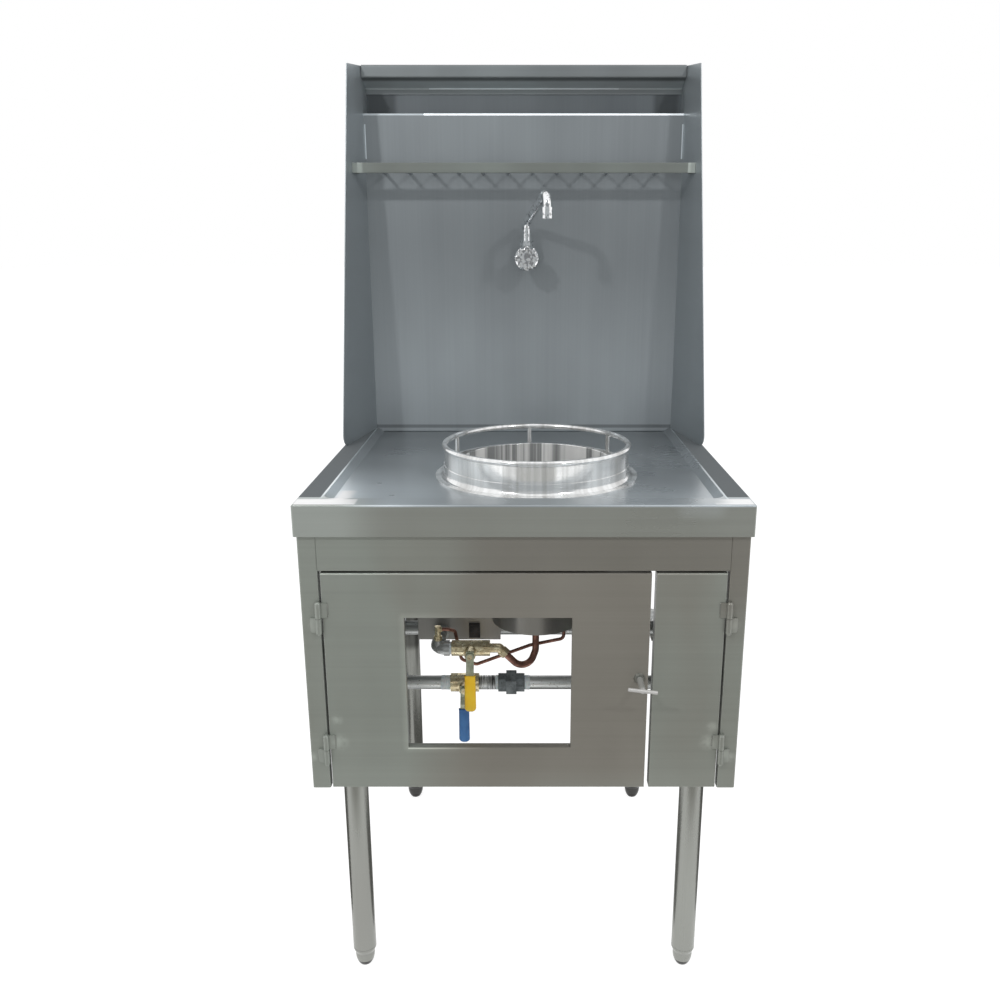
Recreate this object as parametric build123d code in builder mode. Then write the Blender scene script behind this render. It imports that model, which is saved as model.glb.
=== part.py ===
from build123d import *
import os
from math import cos, radians, sin

os.makedirs("parts", exist_ok=True)

# All sizes are in millimetres. X runs to the right, Y to the back and Z up from the floor.
# The origin lies on the floor, in the middle of the whole range.

# Worktop: one folded sheet with an apron all round and a raised rim on all four sides
worktop_width = 711
worktop_depth = 660
deck_height = 889
apron_height = 51
deck_sheet = 1.5
rim_width = 40.5
rim_drop = 8
rim_slope = 12
rim_corner = 8
sheet_bend = 2.5

# Cabinet of folded panels, open at the back and at the bottom
cabinet_overhang = 4
cabinet_setback = 6
cabinet_bottom = 397
panel_sheet = 1.2
post_width = 29.5
post_return = 14
fascia_height = 58
fascia_return = 18

# Doors: folded pans between the posts, below the fascia
door_seam = 3.5
door_depth = 20
door_bottom = 398
door_split_left = 200.5
door_split_gap = 7.5
door_bend = 1
window_left = -190
window_right = 77
window_bottom = 472
window_top = 702
window_return = 14

# Weld-on barrel hinges
hinge_radius = 5
hinge_dome = 3
hinge_length = 56
hinge_gap = 0.6
hinge_pin_radius = 3
hinge_pin_length = 24
hinge_pin_fit = 0.05
hinge_offset = 2
hinge_heights = (471, 703)
hinge_leaf_width = 14
hinge_leaf_thickness = 2.4
hinge_leaf_lift = 0.5

# Latch with a T-bar
latch_height = 597
latch_edge_distance = 14
latch_stem_radius = 4.8
latch_stem_fit = 0.05
latch_reach = 44
latch_bar_radius = 3
latch_bar_edge = 1.5
latch_bar_length = 47.5
latch_bar_tilt = 7
latch_rosette_radius = 9.5
latch_rosette_thickness = 4
latch_cam_reach = 26
latch_cam_width = 16
latch_cam_thickness = 3

# Frame under the deck, and the legs
rail_size = 38
rail_thickness = 3
front_leg_side_inset = 64.5
front_leg_inset = 60
rear_leg_side_inset = 96.5
rear_leg_inset = 70
leg_radius = 20.65
leg_wall = 1.6
leg_bottom = 38
socket_plate = 76
socket_plate_thickness = 4
socket_corner = 6
socket_wall = 2.2
socket_height = 58
slack = 0.3
foot_plug_height = 36
foot_stem_radius = 7
foot_stem_top = 92
foot_stem_fit = 0.08
foot_shoulder = 34
foot_base_radius = 17
foot_taper_height = 25
foot_tip_radius = 11
foot_bulge_radius = 15.5
foot_bulge_height = 9

# Backsplash with its wings, the flue behind it and the cap on top
backsplash_height = 720
splash_inset = 37.5
splash_top = 634
splash_sheet = 1.5
splash_foot = 8
splash_hem_radius = 2.5
flue_depth = 45
wing_flare_width = 34
wing_bottom_reach = 203
wing_top_reach = 82
wing_top_drop = 9
wing_corner_radius = 22
cap_reach = 7
cap_lip_height = 21
cap_rise = 13
cap_flange = 12
flue_slot_width = 560
flue_slot_depth = 14

# Rack across the backsplash
rack_height = 516
rack_reach = 81
rack_bar_height = 19
rack_bar_thickness = 4
rack_bar_edge = 1
rack_tab_length = 26
rack_tab_height = 16
rack_tab_thickness = 3
rack_rod_radius = 3.2
rack_rod_count = 12
rack_rod_pitch = 49.2
rack_rod_offset = -7.5
rack_rod_drop = 4.5

# Wok ring, chamber and burner
ring_x = 22
ring_y_behind_front = 230
hoop_radius = 160
hoop_bar_radius = 4.75
hoop_rise = 60
post_radius = 4
post_count = 3
post_step = 60
post_first = 34
shield_sheet = 2
shield_span = 190
collar_foot_radius = 177
collar_foot_thickness = 3
collar_wall = 5
collar_height = 22
collar_cove = 9
chamber_radius = 129.5
chamber_wall = 2.5
chamber_edge = 0.8
chamber_rise = 28
chamber_flange_radius = 150
chamber_depth = 120
weld_root = 0.3
bowl_depth = 60
neck_depth = 24
shroud_radius = 80
shroud_wall = 2
shroud_bottom = 608
strap_width = 34
strap_thickness = 4
strap_height = 640
burner_base_radius = 24
burner_base_height = 6
burner_neck_radius = 13
burner_neck_height = 24
burner_head_radius = 44
burner_head_height = 20
burner_bore = 7
burner_port_radius = 3.5
burner_port_bore = 1.75
burner_port_height = 10
burner_port_count = 12
burner_port_ring = 34
injector_radius = 9
injector_length = 14
pilot_offset = 52
pilot_radius = 5
pilot_height = 50
pilot_slot_height = 12.5
pilot_nut_radius = 7.5
pilot_nut_height = 9

# Gas line: three-quarter inch pipe in one plane behind the doors
pipe_radius = 13.35
pipe_bore = 10.45
pipe_y_behind_front = 300
supply_height = 442
manifold_height = 558
pipe_fit = 0.1
pipe_engagement = 13
elbow_body_radius = 16.5
elbow_collar_radius = 18.5
elbow_collar_length = 15
elbow_reach = 33
elbow_bend = 18
riser_x = -262
inlet_x = 296
inlet_end_gap = 12
inlet_thread_radius = 13.1
inlet_thread_length = 20
manifold_end_x = 268
manifold_cap_length = 18
manifold_outlet_radius = 14.5
manifold_outlet_reach = 30
bracket_thickness = 4
bracket_height = 24
bracket_wall = 3
bracket_foot = 40
bracket_level = 500
valve_x = -115.5
valve_body_radius = 18
valve_length = 55
valve_hex_radius = 19.5
valve_hex_length = 14
valve_ball_radius = 12.5
valve_ball_bore = 9
union_x = -24.3
union_length = 51.4
union_body_radius = 19
union_spigot_radius = 17
union_spigot_length = 9
union_nut_radius = 26
union_nut_length = 20
stem_radius = 5
stem_fit = 0.06
stem_boss_radius = 10
stem_boss_reach = 34
lever_width = 14
lever_thickness = 2.5
lever_length = 106
lever_heel = 9
lever_step_start = 13
lever_step_end = 26
lever_step = 7
lever_bend = 3
lever_nut_radius = 8
lever_nut_height = 5
grip_start = 35
grip_width = 21
grip_thickness = 8
grip_wall = 2

# Branch to the burner: half inch fittings, burner valve, flare elbow and copper tubes
branch_y_behind_front = 207
branch_x = -157
branch_radius = 10.65
branch_bore = 7.9
branch_elbow_body = 12.5
branch_elbow_collar = 14.5
branch_elbow_collar_length = 10
branch_elbow_reach = 21
branch_elbow_bend = 13
branch_engagement = 9
burner_valve_x = -97
burner_valve_body_radius = 14.5
burner_valve_length = 70
burner_valve_hex_radius = 15.5
burner_valve_hex_length = 13
burner_valve_ball_radius = 10
burner_valve_ball_bore = 6.5
flare_x = -45
flare_radius = 8.5
flare_bore = 4.5
flare_arm = 17
flare_nut_radius = 10.5
flare_nut_length = 11
burner_tube_radius = 6.35
burner_tube_wall = 0.9
burner_tube_bend = 22
burner_tube_lead = 54
burner_tube_sag = 60
burner_tube_stand_off = 14
pilot_tube_radius = 3.18
pilot_tube_wall = 0.7
pilot_tube_bend = 10
pilot_tube_lead = 12
pilot_tube_step = 10
pilot_tube_back = 30
pilot_tube_fall = 84
pilot_tube_run = 28
pilot_tube_dip = 79
pilot_tube_rise = 60
pilot_boss_radius = 7
pilot_boss_height = 16
pilot_valve_radius = 5.5
pilot_valve_height = 27
pilot_valve_hex_radius = 7.5
pilot_valve_hex_height = 8
pilot_valve_outlet = 21
pilot_valve_arm = 8

# Faucet on the backsplash
faucet_x = 6
faucet_height = 356
faucet_flange_radius = 24
faucet_flange_thickness = 6
faucet_flange_edge = 2
faucet_body_radius = 13
faucet_body_length = 46
faucet_shank_radius = 10.4
faucet_shank_bore = 6
faucet_tail_radius = 10.1
faucet_tail = 18
faucet_nut_radius = 17
faucet_nut_thickness = 6
faucet_boss_radius = 11.5
faucet_boss_height = 18
faucet_riser_reach = 34
faucet_socket_start = 7
packing_nut_radius = 13.5
packing_nut_height = 16
spout_radius = 8.5
spout_wall = 1
spout_fit = 0.08
spout_rise = 72
spout_length = 154
spout_lift = 51
spout_swing = 14
spout_drop = 38
spout_bend = 20
aerator_radius = 11
aerator_length = 20
aerator_lap = 8
aerator_bore = 6.5
knob_radius = 24
knob_body_radius = 20
knob_length = 22
knob_lobes = 8
knob_lobe_radius = 5.5
knob_edge = 2
knob_gap = 5
knob_stem_radius = 4
knob_stem_fit = 0.06
knob_stem_depth = 12

# Places worked out from the sizes above
latch_stand_off = latch_reach + latch_bar_radius - cabinet_setback
front_y = latch_stand_off - (worktop_depth + latch_stand_off + faucet_tail) / 2
back_y = front_y + worktop_depth
cabinet_y = front_y + cabinet_setback
splash_y = back_y - flue_depth
flue_back_y = back_y - sheet_bend
field_height = deck_height - rim_drop
field_half = worktop_width / 2 - rim_width
field_front = front_y + rim_width
field_back = splash_y + splash_foot + rim_slope
field_y = (field_front + field_back) / 2
apron_bottom = deck_height - apron_height
fascia_bottom = apron_bottom - fascia_height
cabinet_top = deck_height - deck_sheet - slack
side_half = worktop_width / 2 - cabinet_overhang
splash_half_width = worktop_width / 2 - splash_inset
front_leg_x = worktop_width / 2 - front_leg_side_inset
rear_leg_x = worktop_width / 2 - rear_leg_side_inset
post_inner_x = side_half - post_width
door_top = fascia_bottom - door_seam
door_edge_x = post_inner_x - door_seam
door_split_right = door_split_left + door_split_gap
top_height = deck_height + backsplash_height
ring_y = front_y + ring_y_behind_front
pipe_y = front_y + pipe_y_behind_front
branch_y = front_y + branch_y_behind_front
pipe_socket = pipe_radius + pipe_fit
branch_socket = branch_radius + pipe_fit


def keep(piece, name):
    """Names a finished piece and writes it."""
    piece.part.label = name
    export_step(piece.part, f"parts/{name}.step")


def block(x, y, size_x, size_y):
    """A rectangle whose centre lies at x, y on the sketch's plane."""
    with Locations((x, y)):
        Rectangle(size_x, size_y)


def stretch(low_x, high_x, low_y, high_y):
    """A rectangle between two corners on the sketch's plane."""
    block((low_x + high_x) / 2, (low_y + high_y) / 2, high_x - low_x, high_y - low_y)


def disc(x, y, radius, mode=Mode.ADD):
    """A circle whose centre lies at x, y on the sketch's plane."""
    with Locations((x, y)):
        Circle(radius, mode=mode)


def outline(*points):
    """A face inside straight lines from point to point."""
    with BuildLine() as lines:
        Polyline(*points, close=True)
    make_face(lines.edges())


def folded(points, sheet, side, bend):
    """The section of a folded sheet that has one of its faces on the points."""
    with BuildLine() as lines:
        FilletPolyline(*points, radius=bend)
        offset(amount=sheet, side=side)
    make_face(lines.edges())


def upright(y):
    """A plane across the range at y, seen from the front: local x is X and local y is Z."""
    return Plane(origin=(0, y, 0), x_dir=(1, 0, 0), z_dir=(0, -1, 0))


def crosswise(x):
    """A plane along the range at x: local x is Y and local y is Z."""
    return Plane(origin=(x, 0, 0), x_dir=(0, 1, 0), z_dir=(1, 0, 0))


def axis_up(x, y, turn=0):
    """A plane for turned pieces with an upright axis at x, y: local y is Z, local x turns from X."""
    return Plane(origin=(x, y, 0), x_dir=(cos(turn), sin(turn), 0), z_dir=(sin(turn), -cos(turn), 0))


def axis_right(y, z):
    """A plane for turned pieces with an axis along X at y, z: local y is X."""
    return Plane(origin=(0, y, z), x_dir=(0, 0, 1), z_dir=(0, 1, 0))


def axis_back(x, z):
    """A plane for turned pieces with an axis along Y at x, z: local y is Y."""
    return Plane(origin=(x, 0, z), x_dir=(1, 0, 0), z_dir=(0, 0, 1))


def turned(plane, *points, mode=Mode.ADD):
    """Turns an outline of (radius, place) points about the plane's own axis."""
    with BuildSketch(plane) as section:
        outline(*points)
    revolve(section.sketch, axis=Axis(plane.origin, plane.y_dir), mode=mode)


def drum(plane, low, high, radius, bore=0, mode=Mode.ADD):
    """A cylinder or tube between two places on the plane's own axis."""
    turned(plane, (bore, low), (radius, low), (radius, high), (bore, high), mode=mode)


def hexagon(plane, low, high, radius, sides=6):
    """A prism with a hexagonal or other section between two places on the plane's own axis."""
    start = plane.origin + plane.y_dir * low
    with BuildSketch(Plane(origin=start, x_dir=plane.x_dir, z_dir=plane.y_dir)) as section:
        RegularPolygon(radius, sides)
    extrude(section.sketch, amount=high - low)


# ---------------------------------------------------------------- worktop

with BuildPart() as worktop:
    with BuildSketch(Plane.XY.offset(deck_height)):
        block(0, front_y + worktop_depth / 2, worktop_width, worktop_depth)
    extrude(amount=-apron_height)
    fillet(worktop.edges().filter_by(Axis.Z), radius=sheet_bend)
    fillet(worktop.faces().sort_by(Axis.Z)[-1].edges(), radius=sheet_bend)
    # The field lies below the rim, with sloped sides and rounded corners
    with BuildSketch(Plane.XY.offset(deck_height)):
        with Locations((0, field_y)):
            RectangleRounded(2 * field_half, field_back - field_front, rim_slope + rim_corner)
    with BuildSketch(Plane.XY.offset(field_height)):
        slope_half = field_half - rim_slope
        with Locations((0, field_y)):
            RectangleRounded(2 * slope_half, field_back - field_front - 2 * rim_slope, rim_corner)
    loft(ruled=True, mode=Mode.SUBTRACT)
    rim_loop = worktop.faces().filter_by(Plane.XY).sort_by(Axis.Z)[-1].inner_wires()[0]
    fillet(rim_loop.edges(), radius=sheet_bend)
    # Hollow underside, which follows the field and the rim
    inner_half = worktop_width / 2 - deck_sheet
    inner_front = front_y + deck_sheet
    inner_back = back_y - deck_sheet
    with BuildSketch(Plane.XY.offset(apron_bottom)):
        stretch(-inner_half, inner_half, inner_front, inner_back)
    extrude(amount=apron_height - rim_drop - deck_sheet, mode=Mode.SUBTRACT)
    with BuildSketch(Plane.XY.offset(field_height - deck_sheet)):
        stretch(-inner_half, inner_half, inner_front, inner_back)
        with Locations((0, field_y)):
            Rectangle(
                2 * (field_half + deck_sheet),
                field_back - field_front + 2 * deck_sheet,
                mode=Mode.SUBTRACT,
            )
    extrude(amount=rim_drop, mode=Mode.SUBTRACT)
    # Chamber hole, and the slot that lets the flue gas up behind the backsplash
    with BuildSketch(Plane.XY.offset(deck_height)):
        disc(ring_x, ring_y, chamber_radius + chamber_wall + slack)
        block(0, (field_back + flue_back_y) / 2, flue_slot_width, flue_slot_depth)
    extrude(amount=-apron_height, mode=Mode.SUBTRACT)
keep(worktop, "worktop")


# ---------------------------------------------------------------- cabinet

with BuildPart() as left_side_panel:
    with BuildSketch(Plane.XY.offset(cabinet_bottom)):
        panel_back = back_y - 2 * deck_sheet - panel_sheet
        folded(
            (
                (-post_inner_x - panel_sheet, cabinet_y + post_return),
                (-post_inner_x - panel_sheet, cabinet_y + panel_sheet),
                (-side_half + panel_sheet, cabinet_y + panel_sheet),
                (-side_half + panel_sheet, panel_back),
                (-post_inner_x, panel_back),
            ),
            panel_sheet,
            Side.LEFT,
            panel_sheet,
        )
    extrude(amount=cabinet_top - cabinet_bottom)
keep(left_side_panel, "left_side_panel")

with BuildPart() as right_side_panel:
    mirror(left_side_panel.part, about=Plane.YZ)
keep(right_side_panel, "right_side_panel")

# The fascia's top edge stands behind the apron and its bottom edge turns back
with BuildPart() as fascia:
    with BuildSketch(crosswise(0)):
        folded(
            (
                (cabinet_y + panel_sheet, cabinet_top),
                (cabinet_y + panel_sheet, fascia_bottom + panel_sheet),
                (cabinet_y + fascia_return, fascia_bottom + panel_sheet),
            ),
            panel_sheet,
            Side.RIGHT,
            panel_sheet,
        )
    extrude(amount=post_inner_x, both=True)
keep(fascia, "fascia")


# ---------------------------------------------------------------- frame, sockets, legs and feet

rail_top = field_height - deck_sheet
rail_bottom = rail_top - rail_size
front_leg_y = front_y + front_leg_inset
rear_leg_y = back_y - rear_leg_inset


def angle_section(corner, turn):
    """The section of an angle rail with its upright flange at the corner."""
    inner = corner + turn * rail_thickness
    tip = corner + turn * rail_size
    under = rail_top - rail_thickness
    outline(
        (corner, rail_bottom),
        (corner, rail_top),
        (tip, rail_top),
        (tip, under),
        (inner, under),
        (inner, rail_bottom),
    )


with BuildPart() as frame_rails:
    rail_front = field_front + rim_slope
    for side in (-1, 1):
        with BuildSketch(upright(rail_front)):
            angle_section(side * (front_leg_x + rail_size / 2), -side)
        extrude(amount=rail_front - splash_y)
    for corner, turn in (
        (front_leg_y - rail_size / 2, 1),
        (rear_leg_y + rail_size / 2, -1),
    ):
        with BuildSketch(crosswise(0)):
            angle_section(corner, turn)
        extrude(amount=front_leg_x - rail_size / 2, both=True)
keep(frame_rails, "frame_rails")

leg_places = (
    (-front_leg_x, front_leg_y),
    (front_leg_x, front_leg_y),
    (-rear_leg_x, rear_leg_y),
    (rear_leg_x, rear_leg_y),
)
leg_top = rail_bottom - socket_plate_thickness
with BuildPart() as leg_sockets:
    with BuildSketch(Plane.XY.offset(rail_bottom)):
        with Locations(*leg_places):
            RectangleRounded(socket_plate, socket_plate, socket_corner)
    extrude(amount=-socket_plate_thickness)
    for place in leg_places:
        socket_bore = leg_radius + slack
        drum(axis_up(*place), leg_top - socket_height, leg_top, socket_bore + socket_wall, socket_bore)
keep(leg_sockets, "leg_sockets")

with BuildPart() as legs:
    for place in leg_places:
        leg_bore = leg_radius - leg_wall
        drum(axis_up(*place), leg_bottom, leg_top, leg_radius, leg_bore)
        plug_bore = foot_stem_radius + foot_stem_fit
        drum(axis_up(*place), leg_bottom, leg_bottom + foot_plug_height, leg_bore, plug_bore)
keep(legs, "legs")

foot_names = ("front_left_foot", "front_right_foot", "rear_left_foot", "rear_right_foot")
for place, foot_name in zip(leg_places, foot_names):
    with BuildPart() as foot:
        foot_top = leg_bottom - slack
        with BuildSketch(axis_up(*place)):
            with BuildLine():
                Polyline(
                    (foot_tip_radius, 0),
                    (0, 0),
                    (0, foot_stem_top),
                    (foot_stem_radius, foot_stem_top),
                    (foot_stem_radius, foot_top),
                    (leg_radius, foot_top),
                    (leg_radius, foot_shoulder),
                    (foot_base_radius, foot_taper_height),
                )
                ThreePointArc(
                    (foot_base_radius, foot_taper_height),
                    (foot_bulge_radius, foot_bulge_height),
                    (foot_tip_radius, 0),
                )
            make_face()
        revolve(axis=Axis((*place, 0), (0, 0, 1)))
    keep(foot, foot_name)


# ---------------------------------------------------------------- doors and hinges


def door_pan(low_x, high_x):
    """A folded pan that is open at the back, with rounded front edges."""
    with BuildSketch(upright(cabinet_y)) as front:
        stretch(low_x, high_x, door_bottom, door_top)
    extrude(front.sketch, amount=-door_depth)
    front_face = faces().sort_by(Axis.Y)[0]
    fillet(front_face.edges(), radius=door_bend)
    with BuildSketch(upright(cabinet_y + panel_sheet)) as hollow:
        stretch(
            low_x + panel_sheet,
            high_x - panel_sheet,
            door_bottom + panel_sheet,
            door_top - panel_sheet,
        )
    extrude(hollow.sketch, amount=-door_depth, mode=Mode.SUBTRACT)


latch_x = door_split_left - latch_edge_distance
latch_axis = axis_back(latch_x, latch_height)
with BuildPart() as left_door:
    door_pan(-door_edge_x, door_split_left)
    # The window's edges turn back all round
    with BuildSketch(upright(cabinet_y)):
        stretch(
            window_left - panel_sheet,
            window_right + panel_sheet,
            window_bottom - panel_sheet,
            window_top + panel_sheet,
        )
    extrude(amount=-window_return)
    with BuildSketch(upright(cabinet_y)):
        stretch(window_left, window_right, window_bottom, window_top)
    extrude(amount=-door_depth, mode=Mode.SUBTRACT)
    stem_hole = latch_stem_radius + latch_stem_fit
    drum(latch_axis, cabinet_y, cabinet_y + door_depth, stem_hole, mode=Mode.SUBTRACT)
keep(left_door, "left_door")

with BuildPart() as right_door:
    door_pan(door_split_right, door_edge_x)
keep(right_door, "right_door")

hinge_x = post_inner_x + hinge_offset
hinge_y = cabinet_y - hinge_radius - slack
hinge_half = hinge_length / 2
hinge_places = [(side, height) for side in (-1, 1) for height in hinge_heights]


def knuckle(side, height, turn):
    """Half of a barrel hinge with a domed end, above or below the middle at height."""
    near = height + turn * hinge_gap / 2
    shoulder = height + turn * (hinge_half - hinge_dome)
    far = height + turn * hinge_half
    turned(
        axis_up(side * hinge_x, hinge_y),
        (0, near),
        (hinge_radius, near),
        (hinge_radius, shoulder),
        (hinge_radius - hinge_dome / 2, far),
        (0, far),
    )


def leaf(height, turn, *points):
    """A weld leaf beside one half of a barrel hinge, from its outline seen from above."""
    start = height + turn * hinge_gap / 2
    with BuildSketch(Plane.XY.offset(start)) as plan:
        outline(*points)
    extrude(plan.sketch, amount=turn * (hinge_half - hinge_dome - hinge_gap / 2))


with BuildPart() as hinge_post_knuckles:
    for side, height in hinge_places:
        knuckle(side, height, -1)
        leaf(
            height,
            -1,
            (side * hinge_x, cabinet_y),
            (side * (hinge_x + hinge_leaf_width), cabinet_y),
            (side * (hinge_x + hinge_leaf_width), cabinet_y - hinge_leaf_thickness),
            (side * hinge_x, hinge_y),
        )
        pin = axis_up(side * hinge_x, hinge_y)
        drum(pin, height - hinge_gap, height + hinge_pin_length, hinge_pin_radius)
keep(hinge_post_knuckles, "hinge_post_knuckles")


def door_knuckles(side):
    """The upper halves of one door's hinges, bored for the pins."""
    for height in hinge_heights:
        knuckle(side, height, 1)
        leaf(
            height,
            1,
            (side * (hinge_x - hinge_leaf_width), cabinet_y),
            (side * door_edge_x - side * door_bend, cabinet_y),
            (side * door_edge_x, cabinet_y - hinge_leaf_lift),
            (side * hinge_x, cabinet_y - 2 * hinge_leaf_lift),
            (side * hinge_x, hinge_y),
            (side * (hinge_x - hinge_leaf_width), cabinet_y - hinge_leaf_thickness),
        )
        pin_hole = hinge_pin_radius + hinge_pin_fit
        pin_end = height + hinge_pin_length + slack
        drum(axis_up(side * hinge_x, hinge_y), height, pin_end, pin_hole, mode=Mode.SUBTRACT)


with BuildPart() as left_door_knuckles:
    door_knuckles(-1)
keep(left_door_knuckles, "left_door_knuckles")

with BuildPart() as right_door_knuckles:
    door_knuckles(1)
keep(right_door_knuckles, "right_door_knuckles")


# ---------------------------------------------------------------- latch

latch_bar_y = cabinet_y - latch_reach
cam_y = cabinet_y + door_depth + 2 * slack
cam_end_y = cam_y + latch_cam_thickness
with BuildPart() as latch_handle:
    drum(latch_axis, latch_bar_y, cam_end_y, latch_stem_radius)
    tilt = radians(latch_bar_tilt)
    bar_direction = Vector(cos(tilt), 0, -sin(tilt))
    bar_start = Vector(latch_x, latch_bar_y, latch_height) - bar_direction * latch_bar_length / 2
    with BuildSketch(Plane(origin=bar_start, z_dir=bar_direction)):
        Circle(latch_bar_radius)
    extrude(amount=latch_bar_length)
    bar_ends = latch_handle.edges().filter_by(GeomType.CIRCLE).group_by(Axis.X)
    fillet(bar_ends[0] + bar_ends[-1], radius=latch_bar_edge)
keep(latch_handle, "latch_handle")

with BuildPart() as latch_rosette:
    rosette_bore = latch_stem_radius + latch_stem_fit
    rosette_y = cabinet_y - latch_rosette_thickness
    turned(
        latch_axis,
        (rosette_bore, cabinet_y),
        (latch_rosette_radius, cabinet_y),
        (latch_rosette_radius - latch_rosette_thickness / 2, rosette_y),
        (rosette_bore, rosette_y),
    )
keep(latch_rosette, "latch_rosette")

# The cam's tongue points down when the door is free to open
with BuildPart() as latch_cam:
    with BuildSketch(upright(cam_y)):
        disc(latch_x, latch_height, latch_cam_width / 2)
        stretch(
            latch_x - latch_cam_width / 2,
            latch_x + latch_cam_width / 2,
            latch_height - latch_cam_reach,
            latch_height,
        )
        disc(latch_x, latch_height, latch_stem_radius, mode=Mode.SUBTRACT)
    extrude(amount=-latch_cam_thickness)
    tongue = latch_cam.edges().filter_by(Axis.Y).group_by(Axis.Z)[0]
    chamfer(tongue, length=latch_cam_thickness)
keep(latch_cam, "latch_cam")


# ---------------------------------------------------------------- wings, backsplash, flue and cap

wing_slope = wing_flare_width / wing_bottom_reach
wing_front_y = splash_y - wing_bottom_reach
wing_top_y = splash_y - wing_top_reach
with BuildPart() as right_wing:
    with BuildSketch(Plane.XY.offset(deck_height)):
        plan_reach = wing_bottom_reach + 2 * splash_sheet
        with BuildLine():
            Polyline(
                (splash_half_width, flue_back_y),
                (splash_half_width, splash_y),
                (splash_half_width + wing_slope * plan_reach, splash_y - plan_reach),
            )
            offset(amount=splash_sheet, side=Side.LEFT)
        make_face()
    extrude(amount=backsplash_height)
    with BuildSketch(crosswise(0)) as wing_side:
        outline(
            (flue_back_y, deck_height),
            (wing_front_y, deck_height),
            (wing_top_y, top_height - wing_top_drop),
            (splash_y, top_height),
            (flue_back_y, top_height),
        )
        nose = wing_side.vertices().sort_by_distance((0, wing_top_y, top_height))[0]
        fillet(nose, radius=wing_corner_radius)
    extrude(amount=worktop_width / 2, mode=Mode.INTERSECT)
keep(right_wing, "right_wing")

with BuildPart() as left_wing:
    mirror(right_wing.part, about=Plane.YZ)
keep(left_wing, "left_wing")

# The panel's foot turns back on the field, and its top edge is rolled
panel_top = deck_height + splash_top
with BuildPart() as backsplash_panel:
    with BuildSketch(crosswise(0)):
        folded(
            (
                (splash_y, panel_top - splash_hem_radius),
                (splash_y, field_height),
                (splash_y + splash_foot - slack, field_height),
            ),
            splash_sheet,
            Side.LEFT,
            sheet_bend,
        )
        disc(splash_y + splash_hem_radius, panel_top - splash_hem_radius, splash_hem_radius)
    extrude(amount=splash_half_width, both=True)
    # Its lower corners follow the slope of the rim
    with BuildSketch(upright(splash_y)):
        foot_half = slope_half - slack
        for side in (-1, 1):
            outline(
                (side * foot_half, field_height),
                (side * (foot_half + rim_slope), deck_height),
                (side * worktop_width / 2, deck_height),
                (side * worktop_width / 2, field_height),
            )
    extrude(amount=-flue_depth, mode=Mode.SUBTRACT)
    with BuildSketch(Plane.XY.offset(field_height)):
        for side in (-1, 1):
            low_x, high_x = sorted((side * (slope_half - rim_corner), side * field_half))
            stretch(low_x, high_x, splash_y + splash_sheet, back_y)
    extrude(amount=rim_drop, mode=Mode.SUBTRACT)
    shank_hole = faucet_shank_radius + slack
    faucet_axis = axis_back(faucet_x, deck_height + faucet_height)
    drum(faucet_axis, splash_y, back_y, shank_hole, mode=Mode.SUBTRACT)
keep(backsplash_panel, "backsplash_panel")

flue_front_y = flue_back_y - panel_sheet
with BuildPart() as flue_back:
    with BuildSketch(upright(flue_front_y)):
        stretch(-splash_half_width, splash_half_width, deck_height, top_height - panel_sheet)
    extrude(amount=-panel_sheet)
    drum(faucet_axis, splash_y, back_y, shank_hole, mode=Mode.SUBTRACT)
keep(flue_back, "flue_back")

cap_lip_bottom = top_height - cap_lip_height
with BuildPart() as flue_cap:
    with BuildSketch(crosswise(0)):
        cap_rear_y = flue_front_y - panel_sheet
        cap_base = cap_lip_bottom - cap_rise
        folded(
            (
                (cap_rear_y, cap_base - cap_flange),
                (cap_rear_y, cap_base),
                (splash_y - cap_reach, cap_lip_bottom),
                (splash_y - cap_reach, top_height),
                (flue_back_y, top_height),
            ),
            panel_sheet,
            Side.RIGHT,
            sheet_bend,
        )
    extrude(amount=splash_half_width, both=True)
keep(flue_cap, "flue_cap")


# ---------------------------------------------------------------- rack

rack_bottom = deck_height + rack_height
rack_y = splash_y - rack_reach
bar_rear_y = rack_y + rack_bar_thickness


def wing_inner_x(y):
    """How far out the wings' inner faces stand at y, less the slack."""
    return splash_half_width + wing_slope * (splash_y - y) - slack


with BuildPart() as rack_bar:
    with BuildSketch(Plane.XY.offset(rack_bottom)):
        outline(
            (-wing_inner_x(rack_y), rack_y),
            (wing_inner_x(rack_y), rack_y),
            (wing_inner_x(bar_rear_y), bar_rear_y),
            (-wing_inner_x(bar_rear_y), bar_rear_y),
        )
    extrude(amount=rack_bar_height)
    long_edges = rack_bar.edges().filter_by(Axis.X).group_by(Axis.Y)[0]
    fillet(long_edges, radius=rack_bar_edge)
    # A tab at each end lies along the wing
    with BuildSketch(Plane.XY.offset(rack_bottom)):
        tab_end_y = bar_rear_y + rack_tab_length
        for side in (-1, 1):
            outline(
                (side * wing_inner_x(bar_rear_y), bar_rear_y),
                (side * wing_inner_x(tab_end_y), tab_end_y),
                (side * (wing_inner_x(tab_end_y) - rack_tab_thickness), tab_end_y),
                (side * (wing_inner_x(bar_rear_y) - rack_tab_thickness), bar_rear_y),
            )
    extrude(amount=rack_tab_height)
keep(rack_bar, "rack_bar")

with BuildPart() as rack_rods:
    for number in range(rack_rod_count):
        rod_x = rack_rod_offset + (number - (rack_rod_count - 1) / 2) * rack_rod_pitch
        rod = axis_back(rod_x, rack_bottom + rack_rod_drop)
        drum(rod, bar_rear_y, splash_y, rack_rod_radius)
keep(rack_rods, "rack_rods")


# ---------------------------------------------------------------- wok ring

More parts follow.
